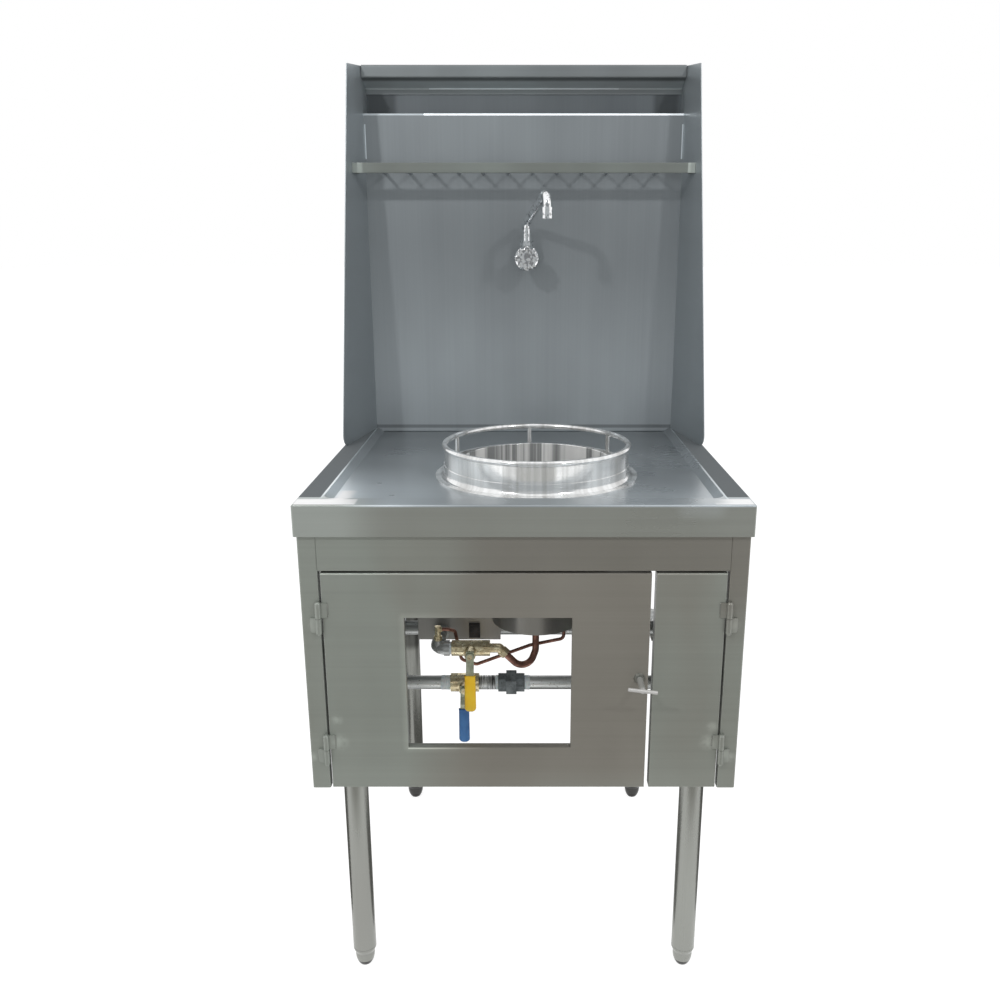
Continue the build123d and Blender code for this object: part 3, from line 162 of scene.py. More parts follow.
def turnedForward(start):
    # 0 on faces that look back, 1 on all others
    normal = start.node("TexCoord", output="Normal")
    return ease(start.vector("DOT_PRODUCT", normal, (0, -1, 0), output="Value"), -0.6, -0.3)


def newFinish(name):
    finish = bpy.data.materials.new(name)
    finish.use_nodes = True
    finish.node_tree.nodes.clear()
    return finish, Wire(finish.node_tree)


# painted shade: the dark matt grey laid over the side rims, in place of the dark reflection they show
paintedShadeGrey = {"Base Color": (0.165, 0.180, 0.188, 1), "Roughness": 0.8, "Specular IOR Level": 0.1}


def closeFinish(start, sockets, height, depth, shadeCover=None):
    # the surface shader, with a bump where it has a depth, and the painted shade grey over it where the
    # shade cover is 1
    if depth:
        sockets["Normal"] = start.node("Bump", None, {"Strength": 1.0, "Distance": depth, "Height": height})
    surface = start.node("BsdfPrincipled", None, sockets)
    if shadeCover is not None:
        grey = start.node("BsdfPrincipled", None, paintedShadeGrey)
        surface = start.node("MixShader", None, {0: shadeCover, 1: surface, 2: grey})
    start.node("OutputMaterial", None, {"Surface": surface})


# sheet steel: satin panels, all one steel, each given lighter or darker tints that paint in the light,
# shade and reflections its surroundings give it
frontLook = {
    "light": (0.293, 0.316, 0.287), "dark": (0.256, 0.248, 0.220), "metallic": 0.55, "streaks": 0.09,
    "roughness": 0.34, "roughSpread": 0.08, "depth": 0.00002,
}
splashLook = dict(frontLook, light=(0.268, 0.294, 0.308), dark=(0.250, 0.272, 0.286))
wingLook = dict(frontLook, light=(0.360, 0.398, 0.418), dark=(0.326, 0.360, 0.378))
deckLook = dict(frontLook, light=(0.328, 0.360, 0.378), dark=(0.296, 0.324, 0.342), roughness=0.27, depth=0)
# painted shade: the flue's back wall much darker than the rest of the steel, for the shade under the cap
flueLook = dict(frontLook, light=(0.150, 0.167, 0.178), dark=(0.130, 0.146, 0.157))
shroudLook = dict(frontLook, light=(0.520, 0.510, 0.490), dark=(0.300, 0.295, 0.280), metallic=0.75)
shroudLook.update(roughness=0.3)
barLook = dict(frontLook, light=(0.222, 0.246, 0.230), dark=(0.202, 0.218, 0.202))
capLook = dict(frontLook, light=(0.222, 0.246, 0.252), dark=(0.198, 0.214, 0.220))
tubeLook = dict(frontLook, light=(0.300, 0.308, 0.286), dark=(0.262, 0.264, 0.246), metallic=0.9)
tubeLook.update(roughness=0.22)
# painted shade: the rear feet in the same tube steel, made much darker for the shade under the cabinet
rearFootLook = dict(tubeLook, light=(0.10, 0.102, 0.10), dark=(0.06, 0.06, 0.058))
latchLook = dict(tubeLook, light=(0.54, 0.535, 0.52), dark=(0.46, 0.455, 0.44), metallic=0.35)
latchLook.update(roughness=0.4, depth=0)
steelGrain = {
    "x": (1.6, 230, 230), "y": (230, 1.6, 230), "z": (230, 230, 1.6), "deck": (1.6, 70, 230),
    "bandShare": 0.12, "lineRough": 0.06, "clouds": (5.0, 5.0, 1.8), "wipes": (14, 14, 6),
    "wipeShade": 0.08, "wipeRough": 0.1, "mottle": (90, 90, 90), "weldShade": 0.35, "weldRough": 0.2,
}


def brushedSteel(name, along, look, paintedLight=(), welds=(), tints=(), paintedShadeBoxes=(), grain=steelGrain):
    # colour: two tints blended by upright clouds, partly the steel's own uneven tone and partly painted
    # soft reflections, raised or lowered by the painted highlights, reflections and shade except on faces
    # that look back, with another tint laid over parts of some panels, on some of them painted reflections,
    # times fine lines and wider bands drawn out along the rolling direction, wiped clouds and a mottled
    # lift in each weld;
    # roughness: its level plus the clouds, the wipes, the lines and the welds; height: the fine lines; the
    # painted shade grey lies over the painted shade boxes
    finish, start = newFinish(name)
    place = start.node("TexCoord", output="Object")
    lines = noise(place, grain[along], 1)
    bands = noise(place, tuple(grain["bandShare"] * size for size in grain[along]))
    clouds = ease(noise(place, grain["clouds"]), 0.3, 0.7)
    wipes = noise(place, grain["wipes"]) - 0.5
    shade = (lines - 0.5) * look["streaks"] + (bands - 0.5) * look["streaks"] + 1
    shade = shade + wipes * grain["wipeShade"]
    rough = clouds * look["roughSpread"] + wipes * grain["wipeRough"] + look["roughness"]
    rough = rough + (lines - 0.5) * grain["lineRough"]
    for centre, reach in welds:
        mottle = ease(noise(place, grain["mottle"]), 0.25, 0.6)
        spot = patch(place, centre, (0, 0, 0), reach) * mottle
        shade = shade + spot * grain["weldShade"]
        rough = rough + spot * grain["weldRough"]
    facing = turnedForward(start) if paintedLight else 1
    colour = paintLight(tinted(look["dark"], look["light"], clouds), paintedLight, place, facing)
    for centre, half, soft, tint in tints:
        colour = tinted(colour, tint, patch(place, centre, half, soft))
    shadeCover = None
    for centre, half, soft in paintedShadeBoxes:
        spot = patch(place, centre, half, soft)
        shadeCover = spot if shadeCover is None else shadeCover.highest(spot)
    sockets = {"Base Color": shaded(colour, shade), "Metallic": look["metallic"], "Roughness": rough}
    closeFinish(start, sockets, lines, look["depth"], shadeCover)
    return finish


# ring and chamber: spun and polished, with painted reflections
ringLook = {
    "light": (0.93, 0.94, 0.94), "dark": (0.56, 0.56, 0.55), "streaks": 4.7, "low": 0.32, "high": 0.62,
    "metallic": 0.78, "roughness": 0.13, "depth": 0.00003,
}
chamberLook = dict(ringLook, light=(0.98, 0.98, 0.97), dark=(0.34, 0.35, 0.35), metallic=0.5)
chamberLook.update(streaks=5.4, low=0.42, high=0.56)
spunGrain = {"turning": (3, 3, 900), "turningRough": 0.12, "darkRough": 0.1}


def polishedSteel(name, look, grain=spunGrain):
    # colour: dark and light streaks, painted reflections such as a polished round wall mirrors, that depend
    # only on the direction from the chamber's axis, so they stand upright on the walls and run inwards on
    # the bowl; roughness: its level plus fine turning lines and the dark streaks; height: the turning lines
    finish, start = newFinish(name)
    place = start.node("TexCoord", output="Object")
    axis = middleOf("chamber_liner")
    level = place.vector("MULTIPLY", place.vector("SUBTRACT", place, (axis.x, axis.y, 0)), (1, 1, 0))
    direction = place.vector("NORMALIZE", level)
    streaks = ease(noise(direction, (look["streaks"],) * 3, 3, 0.65), look["low"], look["high"])
    turning = noise(place, grain["turning"])
    rough = (turning - 0.5) * grain["turningRough"] + (1 - streaks) * grain["darkRough"]
    sockets = {
        "Base Color": tinted(look["dark"], look["light"], streaks),
        "Metallic": look["metallic"],
        "Roughness": rough + look["roughness"],
    }
    closeFinish(start, sockets, turning, look["depth"])
    return finish


# pipes, fittings and valves: cast, drawn and plated metal
pipeLook = {
    "light": (0.60, 0.62, 0.61), "dark": (0.42, 0.435, 0.43), "pits": (0.28, 0.27, 0.26),
    "blotches": (9, 90, 90), "metallic": 0.6, "roughness": 0.28, "roughSpread": 0.15, "depth": 0.00003,
}
ironLook = {
    "light": (0.235, 0.262, 0.272), "dark": (0.155, 0.174, 0.182), "pits": (0.08, 0.09, 0.095),
    "blotches": (60, 60, 60), "metallic": 0.5, "roughness": 0.40, "roughSpread": 0.2, "depth": 0.00012,
}
burnerLook = {
    "light": (0.06, 0.058, 0.055), "dark": (0.03, 0.028, 0.027), "pits": (0.10, 0.055, 0.03),
    "blotches": (45, 45, 45), "metallic": 0.3, "roughness": 0.6, "roughSpread": 0.2, "depth": 0.0003,
}
brassLook = {
    "light": (0.99, 0.90, 0.62), "dark": (0.68, 0.56, 0.35), "pits": (0.36, 0.25, 0.15),
    "blotches": (110, 110, 110), "metallic": 0.8, "roughness": 0.24, "roughSpread": 0.2, "depth": 0.00008,
}
copperLook = {
    "light": (0.40, 0.20, 0.15), "dark": (0.19, 0.095, 0.074), "pits": (0.14, 0.06, 0.05),
    "blotches": (60, 60, 60), "metallic": 0.75, "roughness": 0.36, "roughSpread": 0.2, "depth": 0.00003,
}
zincLook = {
    "light": (0.62, 0.65, 0.50), "dark": (0.47, 0.50, 0.37), "pits": (0.34, 0.31, 0.19),
    "blotches": (120, 120, 60), "metallic": 0.6, "roughness": 0.38, "roughSpread": 0.2, "depth": 0.00003,
}
# painted highlight and shade on the nipple: high-contrast bands across the axis stand for its lit crests
# and shaded roots
threadLook = dict(pipeLook, light=(0.88, 0.90, 0.90), dark=(0.10, 0.104, 0.104), blotches=(420, 30, 30))
castGrain = {"grain": (1100, 1100, 1100), "pits": (330, 330, 330), "pitRough": 0.15}


def speckledMetal(name, look, paintedLight=(), grain=castGrain):
    # colour: two tints blended by blotches, with a third in small pits, raised or lowered in each mark;
    # roughness: its level plus the dark blotches and the pits; height: a fine cast grain less the pits
    finish, start = newFinish(name)
    place = start.node("TexCoord", output="Object")
    blotches = ease(noise(place, look["blotches"], 4, 0.6), 0.35, 0.65)
    pits = ease(noise(place, grain["pits"]), 0.6, 0.72)
    colour = tinted(tinted(look["dark"], look["light"], blotches), look["pits"], pits)
    rough = (1 - blotches) * look["roughSpread"] + pits * grain["pitRough"] + look["roughness"]
    colour = paintLight(colour, paintedLight, place)
    sockets = {"Base Color": colour, "Metallic": look["metallic"], "Roughness": rough}
    closeFinish(start, sockets, noise(place, grain["grain"]) - pits, look["depth"])
    return finish


# faucet: chromium plating
chromeLook = {
    "colour": (0.95, 0.96, 0.97), "water": (0.42, 0.43, 0.44), "drops": 150, "low": 0.50, "high": 0.66,
    "metallic": 1.0, "roughness": 0.09, "dropRough": 0.16, "dents": 120, "depth": 0.0005,
}
# on the knob the grey drops are partly painted reflection: they break its chrome into grey and white
# sparkle
knobLook = dict(chromeLook, colour=(1.0, 1.0, 1.0), water=(0.42, 0.42, 0.43), drops=190, dents=260)
knobLook.update(low=0.44, high=0.60, roughness=0.05, depth=0.0012)


def chromePlate(name, look):
    # colour: bright, dulled a little by dried drops; roughness: low, more in the drops; height: the dents
    # of the casting
    finish, start = newFinish(name)
    place = start.node("TexCoord", output="Object")
    drops = ease(noise(place, (look["drops"],) * 3, 3), look["low"], look["high"])
    sockets = {
        "Base Color": tinted(look["colour"], look["water"], drops),
        "Metallic": look["metallic"],
        "Roughness": drops * look["dropRough"] + look["roughness"],
    }
    closeFinish(start, sockets, noise(place, (look["dents"],) * 3, 1), look["depth"])
    return finish


# lever grips: dipped vinyl
blueLook = {
    "light": (0.060, 0.225, 0.54), "dark": (0.042, 0.165, 0.44), "clouds": (70, 70, 40),
    "rubs": (180, 180, 180), "roughness": 0.36, "rubRough": 0.18, "coat": 0.05,
    "dimples": (500, 500, 500), "depth": 0.00006,
}
yellowLook = dict(blueLook, light=(1.0, 0.68, 0.05), dark=(1.0, 0.60, 0.03))


def dippedVinyl(name, look):
    # colour: two near tints blended by soft clouds; roughness: satin with dull rubbed spots; height: soft
    # dimples
    finish, start = newFinish(name)
    place = start.node("TexCoord", output="Object")
    clouds = ease(noise(place, look["clouds"]), 0.3, 0.7)
    rubbed = ease(noise(place, look["rubs"], 3), 0.5, 0.7)
    sockets = {
        "Base Color": tinted(look["dark"], look["light"], clouds),
        "Roughness": rubbed * look["rubRough"] + look["roughness"],
        "Coat Weight": look["coat"],
    }
    closeFinish(start, sockets, noise(place, look["dimples"]), look["depth"])
    return finish


# thread tape: thin white film
filmLook = {
    "light": (0.93, 0.96, 0.96), "dark": (0.68, 0.76, 0.78), "folds": (420, 60, 60),
    "roughness": 0.5, "subsurface": 0.1, "depth": 0.0004,
}


def threadFilm(name, look):
    # colour: white, with painted bluish shade in the folds, which run nearly round the pipe; height: the
    # same folds
    finish, start = newFinish(name)
    place = start.node("TexCoord", output="Object")
    folds = ease(noise(place, look["folds"], 3, 0.6), 0.3, 0.7)
    sockets = {
        "Base Color": tinted(look["dark"], look["light"], folds),
        "Roughness": look["roughness"],
        "Subsurface Weight": look["subsurface"],
    }
    closeFinish(start, sockets, folds, look["depth"])
    return finish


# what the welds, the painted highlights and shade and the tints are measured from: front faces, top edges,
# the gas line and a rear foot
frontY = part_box("left_door")[0].y
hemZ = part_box("left_door")[1].z - 0.001
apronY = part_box("worktop")[0].y
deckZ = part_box("worktop")[1].z
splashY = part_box("backsplash_panel")[0].y
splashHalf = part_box("backsplash_panel")[1].x
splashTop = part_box("backsplash_panel")[1].z - 0.0015
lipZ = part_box("flue_cap")[0].z + 0.0105
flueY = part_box("flue_back")[0].y
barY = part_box("rack_bar")[0].y
barZ = middleOf("rack_bar").z
gasAxis = middleOf("union_nut")
rearFoot = middleOf("rear_left_foot")

# welds: the middle and the reach of each
hingeWelds = (
    ((-0.3025, frontY, 0.482), 0.020), ((-0.3052, frontY, 0.5225), 0.013),
    ((-0.3486, frontY, 0.4545), 0.012), ((-0.333, frontY, 0.690), 0.012),
    ((0.3031, frontY, 0.482), 0.020), ((0.3082, frontY, 0.510), 0.013),
    ((0.3427, frontY, 0.4545), 0.012), ((0.336, frontY, 0.690), 0.012), ((0.330, frontY, 0.462), 0.012),
)

# painted light: the middle, the half sizes, the soft edge and the gain of each painted highlight,
# reflection or shaded place
hairline = 0.0012  # soft edge of a painted highlight line along a hem or a joint, and of the painted shadow line at the backsplash's foot
window = {"x": -0.0565, "z": 0.587, "halfWidth": 0.1335, "halfHeight": 0.115}
windowEdge = window["z"] - window["halfHeight"] - 0.0015
windowHalf = (window["halfWidth"], 0.0015, window["halfHeight"])
# painted highlights on the left door: a lighter band round the window, a bright line along its lower edge
# and one along the top hem
doorPaintedHighlights = (
    ((window["x"], frontY, window["z"]), windowHalf, 0.0115, 0.22),
    ((window["x"], frontY, windowEdge), (window["halfWidth"], 0.0015, 0.0006), hairline, 1.2),
    ((middleOf("left_door").x, frontY, hemZ), (0.264, 0.0015, 0.0003), hairline, 0.9),
)
# painted highlight along the right door's top hem
smallDoorPaintedHighlight = (((middleOf("right_door").x, frontY, hemZ), (0.0555, 0.0015, 0.0003), hairline, 0.5),)
# painted light on the deck: reflections brightening both front corners, a darker painted reflection at the
# back and highlight lines along the field's sides
deckPaintedLight = (
    ((-0.330, -0.280, deckZ), (0.02, 0.03, 0.04), 0.26, 1.3),
    ((0.250, -0.290, deckZ), (0.05, 0.02, 0.04), 0.16, 0.55),
    ((0, 0.22, deckZ - 0.004), (0.30, 0.07, 0.03), 0.12, -0.3),
    ((-splashHalf, 0, deckZ - 0.004), (0.0008, 0.29, 0.03), 0.0018, 0.9),
    ((splashHalf, 0, deckZ - 0.004), (0.0008, 0.29, 0.03), 0.0018, 0.7),
)
# painted light on the backsplash: a broad painted shade around and below the faucet, highlight lines along
# the top hem and upper side edges, a painted shadow line at its foot and a lighter lower part
splashPaintedLight = (
    ((0.02, splashY, 1.16), (0.12, 0.004, 0.12), 0.2, -0.14),
    ((0.06, splashY, splashTop), (0.258, 0.004, 0.002), hairline, 5.0),
    ((-0.25, splashY, splashTop), (0.068, 0.004, 0.002), hairline, 1.2),
    ((0.0015 - splashHalf, splashY, 1.470), (0.0004, 0.004, 0.032), hairline, 1.7),
    ((splashHalf - 0.0015, splashY, 1.470), (0.0004, 0.004, 0.032), hairline, 1.7),
    ((0, splashY, deckZ + 0.004), (splashHalf, 0.004, 0.003), hairline, -0.6),
    ((0, splashY, deckZ + 0.041), (splashHalf, 0.004, 0.03), 0.32, 0.42),
)
# painted highlight along the bend under the cap's lip, and painted shade at both ends of the flue slot
fluePaintedLight = (
    ((0, flueY, lipZ), (0.19, 0.006, 0.0012), 0.0015, 4.5),
    ((-0.288, flueY, 1.545), (0.022, 0.006, 0.022), 0.014, -0.45),
    ((0.288, flueY, 1.545), (0.018, 0.006, 0.022), 0.014, -0.45),
)
# painted highlights at both ends of the rack bar
barPaintedHighlights = (
    ((-0.345, barY, barZ), (0.030, 0.006, 0.012), 0.006, 0.6),
    ((0.336, barY, barZ), (0.018, 0.006, 0.012), 0.002, 1.2),
)
# painted highlights: a lighter band along the cap just above its lip, with a thin bright line in it
capPaintedHighlights = (
    ((0, 0.30, lipZ + 0.0045), (0.35, 0.06, 0.0035), 0.003, 1.8),
    ((0, 0.33, lipZ), (0.19, 0.02, 0.0003), hairline, 1.4),
)
# painted shade on the rear left leg where it stands inside the cabinet
tubePaintedShade = (((rearFoot.x, rearFoot.y, 0.62), (0.03, 0.03, 0.22), 0.02, -0.62),)
# painted highlight along the upper front of the gas line and painted shade along its underside
pipePaintedLight = (
    ((0, gasAxis.y - 0.014, gasAxis.z + 0.004), (0.5, 0.003, 0.003), 0.006, 0.9),
    ((0, gasAxis.y + 0.0065, gasAxis.z - 0.012), (0.5, 0.03, 0.0035), 0.003, -0.55),
)

# tints: as marks, with a colour in place of the gain
white = (1.0, 1.0, 1.0)
# painted reflections: broad darker, warmer patches on the left door and on the fascia
doorPaintedReflection = (((0.09, frontY, 0.62), (0.14, 0.02, 0.17), 0.12, (0.256, 0.244, 0.216)),)
fasciaPaintedReflection = (((0.16, frontY, 0.81), (0.18, 0.02, 0.04), 0.16, (0.222, 0.214, 0.190)),)
# on the worktop: the apron's face in a darker tint of the same steel, which keeps the deck's painted
# reflections off it; painted light at the apron's left end; painted white reflections on the front rim
# corners and on the field's slope by the left corner; a pale hazy patch near the right front corner
deckTintsAndPaintedLight = (
    ((0, apronY, deckZ - 0.0285), (0.356, 0.0015, 0.0245), 0.002, (0.285, 0.296, 0.272)),
    ((-0.356, apronY, deckZ - 0.0285), (0.060, 0.0015, 0.0245), 0.10, (0.375, 0.402, 0.378)),
    ((-0.306, -0.299, deckZ), (0.045, 0.0125, 0.002), 0.005, white),
    ((0.323, -0.299, deckZ), (0.027, 0.0125, 0.002), 0.005, white),
    ((-0.288, -0.250, deckZ), (0.004, 0.040, 0.004), 0.016, white),
    ((0.272, -0.285, deckZ), (0.02, 0.010, 0.004), 0.035, (0.52, 0.56, 0.58)),
)
footTints = (((0, 0, 0), (1, 1, 0.009), 0.002, (0.035, 0.035, 0.034)),)  # the bottom of each foot
latchBar = 0.0075  # the bar's depth; behind it comes the stem
latchLow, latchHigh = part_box("latch_handle")
stemMiddle = middleOf("latch_handle") + Vector((0, latchBar / 2, 0))
stemHalf = (0.05, (latchHigh.y - latchLow.y - latchBar) / 2, 0.05)
latchTints = ((tuple(stemMiddle), stemHalf, 0.001, (0.40, 0.405, 0.385)),)

# painted shade boxes: as the marks above, without a gain; they lay the dark grey over the side rims
rimPaintedShade = tuple(((x, 0.03, deckZ), (0.0165, 0.302, 0.006), 0.002) for x in (-0.3365, 0.3365))

steelTube = brushedSteel("tubeSteel", "z", tubeLook, tubePaintedShade)
dress = {
    "left_door": brushedSteel("doorSteel", "x", frontLook, doorPaintedHighlights, hingeWelds, doorPaintedReflection),
    "right_door": brushedSteel("rightDoorSteel", "x", frontLook, smallDoorPaintedHighlight, hingeWelds),
    "fascia left_side_panel right_side_panel burner_strap pipe_brackets hinge_post_knuckles "
    "left_door_knuckles right_door_knuckles latch_cam": brushedSteel(
        "frontSteel", "x", frontLook, welds=hingeWelds, tints=fasciaPaintedReflection
    ),
    "worktop": brushedSteel("deckSteel", "deck", deckLook, deckPaintedLight, tints=deckTintsAndPaintedLight, paintedShadeBoxes=rimPaintedShade),
    "rack_bar": brushedSteel("barSteel", "x", barLook, barPaintedHighlights),
    "flue_cap": brushedSteel("capSteel", "x", capLook, capPaintedHighlights),
    "backsplash_panel": brushedSteel("splashSteel", "z", splashLook, splashPaintedLight),
    "flue_back": brushedSteel("flueSteel", "z", flueLook, fluePaintedLight),
    "burner_shroud frame_rails": brushedSteel("shroudSteel", "z", shroudLook),
    "left_wing right_wing rack_rods": brushedSteel("wingSteel", "y", wingLook),
    "legs leg_sockets latch_rosette": steelTube,
    "latch_handle": brushedSteel("latchSteel", "x", latchLook, tints=latchTints),
    "front_left_foot front_right_foot": brushedSteel("frontFootSteel", "z", tubeLook, tints=footTints),
    "rear_left_foot rear_right_foot": brushedSteel("rearFootSteel", "z", rearFootLook, tints=footTints),
    "wok_ring ring_shield ring_collar": polishedSteel("ringSteel", ringLook),
    "chamber_liner": polishedSteel("chamberSteel", chamberLook),
    "supply_pipes manifold_pipe pipe_nipples branch_elbow": speckledMetal("blackPipe", pipeLook, pipePaintedLight),
    "pipe_elbows union_ends union_nut": speckledMetal("malleableIron", ironLook),
    "burner": speckledMetal("castBurner", burnerLook),
    "main_valve_body main_valve_ball burner_valve_body burner_valve_ball flare_elbow pilot_valve "
    "pilot_burner": speckledMetal("castBrass", brassLook),
    "burner_tube pilot_tube": speckledMetal("darkCopper", copperLook),
    "main_valve_lever burner_valve_lever": speckledMetal("zincPlate", zincLook),
    "faucet_body faucet_flange faucet_nuts faucet_spout aerator": chromePlate("faucetChrome", chromeLook),
    "faucet_knob": chromePlate("knobChrome", knobLook),
    "main_valve_grip": dippedVinyl("blueVinyl", blueLook),
    "burner_valve_grip": dippedVinyl("yellowVinyl", yellowLook),
}
for names, finish in dress.items():
    for name in names.split():
        nodes[name].material_slots[0].material = finish
print("finishes laid on", sum(len(names.split()) for names in dress), "nodes")


def meshFromGrid(name, points, finish, body, smooth=True):
    # points are rows by columns; each row is a closed loop, quads join the rows, and a face closes each end
    rows, columns = points.shape[:2]
    row, column = np.meshgrid(np.arange(rows - 1), np.arange(columns), indexing="ij")
    here = row * columns
    after = (column + 1) % columns
    corners = (here + column, here + after, here + columns + after, here + columns + column)
    quads = np.stack(corners, axis=-1).reshape(-1, 4)
    ends = [np.arange(columns)[::-1], np.arange(columns) + (rows - 1) * columns]
    mesh = bpy.data.meshes.new(name)
    mesh.from_pydata(points.reshape(-1, 3).tolist(), [], quads.tolist() + [end.tolist() for end in ends])
    mesh.validate()
    if smooth:
        mesh.shade_smooth()
    else:
        mesh.shade_flat()
    mesh.materials.append(finish)
    piece = bpy.data.objects.new(name, mesh)
    bpy.context.scene.collection.objects.link(piece)
    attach(piece, body)
    return piece


def circle(columns):
    # the angles of one row
    return np.linspace(0, 2 * np.pi, columns, endpoint=False)[None, :]


def roundAlongX(places, radii, y, z):
    # radii and places are rows by columns; a point stands at its place along X, and at its radius from the
    # line along X through y and z
    angle = circle(radii.shape[1])
    return np.stack((places, y + radii * np.cos(angle), z + radii * np.sin(angle)), axis=-1)


# thread tape: wraps where pipes enter fittings, each with its pipe, its fitting, the side and its length
gasPipe = {"radius": 0.01345, "y": gasAxis.y, "z": gasAxis.z}
branchPipe = {"radius": 0.0108, "y": middleOf("flare_elbow").y, "z": middleOf("burner_valve_body").z}
tapes = {
    "valveTape": {"pipe": gasPipe, "fitting": "main_valve_body", "side": -1, "length": 0.0188, "seed": 1.3},
    "unionTapeLeft": {"pipe": gasPipe, "fitting": "union_ends", "side": -1, "length": 0.0053, "seed": 4.1},
    "unionTapeRight": {"pipe": gasPipe, "fitting": "union_ends", "side": 1, "length": 0.0104, "seed": 2.2},
    "branchTape": {
        "pipe": branchPipe, "fitting": "burner_valve_body", "side": -1, "length": 0.0040, "seed": 5.7,
    },
}
tapeLook = {
    "rows": 28, "columns": 72, "thickness": 0.0009, "ragged": 0.0011, "edge": 14, "turns": 3, "gap": 0.0002,
}


def tapeSpan(look):
    # where the tape begins and ends along X: from just outside the fitting's face, away from it
    low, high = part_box(look["fitting"])
    if look["side"] < 0:
        end = low.x - tapeLook["gap"]
        return end - look["length"], end
    start = high.x + tapeLook["gap"]
    return start, start + look["length"]


def threadTape(name, look, finish):
    # radius: the pipe's, plus a thickness that swells and thins with the angle and the place along the
    # pipe, as overlapping turns do, and fades at the edges; these are ragged, because each place shifts
    # with the angle
    start, end = tapeSpan(look)
    pipe, seed = look["pipe"], look["seed"]
    along = np.linspace(0, 1, tapeLook["rows"])[:, None]
    angle = circle(tapeLook["columns"])
    edge = np.clip(np.minimum(along, 1 - along) * tapeLook["edge"], 0, 1)
    turns = (along * tapeLook["turns"] - angle / (2 * np.pi)) % 1
    folds = 0.12 * np.sin(3 * angle + 9 * along + seed) + 0.08 * np.sin(11 * angle - 17 * along)
    ragged = tapeLook["ragged"] * (np.sin(2 * angle + seed) + 0.5 * np.sin(5 * angle + 2 * seed))
    places = start + along * (end - start) + ragged * (along - 0.5)
    radii = pipe["radius"] + tapeLook["thickness"] * edge * (0.5 + 0.3 * turns + folds)
    points = roundAlongX(places, radii, pipe["y"], pipe["z"])
    return meshFromGrid(name, points, finish, "range")


film = threadFilm("threadFilm", filmLook)
for name, look in tapes.items():
    threadTape(name, look, film)
print("thread tape wound:", len(tapes))


# nipple between the valve and the union's tape, threaded over its whole length
nipple = {"height": 0.0009, "pitch": 0.00181, "rowsPerTurn": 6, "columns": 40, "edge": 12, "gap": 0.0001}


def threadedNipple(name, look, finish):
    # radius: the root plus the height times a triangle wave of the place along the axis, in pitches, less
    # the angle in turns, so that the crest climbs one pitch a turn; the thread fades at both ends
    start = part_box("main_valve_body")[1].x + look["gap"]
    end = tapeSpan(tapes["unionTapeLeft"])[0] - look["gap"]
    turns = (end - start) / look["pitch"]
    along = np.linspace(0, 1, int(turns * look["rowsPerTurn"]))[:, None]
    angle = circle(look["columns"])
    phase = (along * turns - angle / (2 * np.pi)) % 1
    ridge = 1 - np.abs(2 * phase - 1)
    fade = np.clip(np.minimum(along, 1 - along) * look["edge"], 0, 1)
    radii = gasPipe["radius"] + look["height"] * ridge * fade
    places = np.broadcast_to(start + along * (end - start), radii.shape)
    points = roundAlongX(places, radii, gasPipe["y"], gasPipe["z"])
    return meshFromGrid(name, points, finish, "range")


threadedNipple("threadedNipple", nipple, speckledMetal("threadSteel", threadLook))
print("nipple threaded")


# grips: the vinyl that the levers were dipped in
grips = {
    "blueGrip": {"node": "main_valve_grip", "body": "main_lever"},
    "yellowGrip": {"node": "burner_valve_grip", "body": "burner_lever"},
}
gripLook = {
    "rows": 48, "columns": 40, "crowding": 1.4, "power": 2.7, "taper": 0.06, "roundHeight": 0.75,
    "footWidth": 0.25, "footDepth": 0.35, "fullDepth": 0.94, "lip": 0.0006, "lipHeight": 0.0016,
}


def leverGrip(name, look, finish):
    # each level is a superellipse as wide and deep as the sleeve; it narrows a little upwards, rounds in at
    # the bottom along a quarter circle and ends in a thin lip at the top
    low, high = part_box(look["node"])
    half = (high - low) / 2
    middle = (high + low) / 2
    level = np.linspace(0, 1, gripLook["rows"])[:, None] ** gripLook["crowding"]
    angle = circle(gripLook["columns"])
    z = low.z + level * (high.z - low.z)
    above = np.clip(1 - (z - low.z) / (half.x * gripLook["roundHeight"]), 0, 1)
    roundIn = np.sqrt(np.clip(1 - above**2, 0, 1))
    lip = np.exp(-(((high.z - z) / gripLook["lipHeight"]) ** 2)) * gripLook["lip"]
    width = gripLook["footWidth"] + (1 - gripLook["footWidth"]) * roundIn
    depth = gripLook["footDepth"] + (1 - gripLook["footDepth"]) * roundIn
    power = 2 / gripLook["power"]
    across = np.sign(np.cos(angle)) * np.abs(np.cos(angle)) ** power
    through = np.sign(np.sin(angle)) * np.abs(np.sin(angle)) ** power
    x = middle.x + across * np.minimum(half.x * width * (1 - gripLook["taper"] * level) + lip, half.x)
    y = middle.y + through * np.minimum(half.y * depth * gripLook["fullDepth"] + lip, half.y)
    points = np.stack((x, y, np.broadcast_to(z, x.shape)), axis=-1)
    piece = meshFromGrid(name, points, finish, look["body"])
    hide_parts(look["node"])
    return piece


for name, look in grips.items():
    leverGrip(name, look, nodes[look["node"]].material_slots[0].material)
print("levers dipped")


# bracket plate between the manifold and the burner's shroud, with a dark block on its face: painted shade
# standing for the shadowed square hole in it
plates = {
    "burnerBracket": {
        "low": (-0.2025, -0.0345, 0.5401), "high": (-0.0445, -0.0321, 0.6018), "chamfer": 0.0006,
        "finishOf": "burner_shroud",
    },
    "bracketHoleShade": {
        "low": (-0.1047, -0.0400, 0.5456), "high": (-0.0837, -0.0344, 0.5745), "chamfer": 0.0012,
        "finishOf": "burner",
    },
}


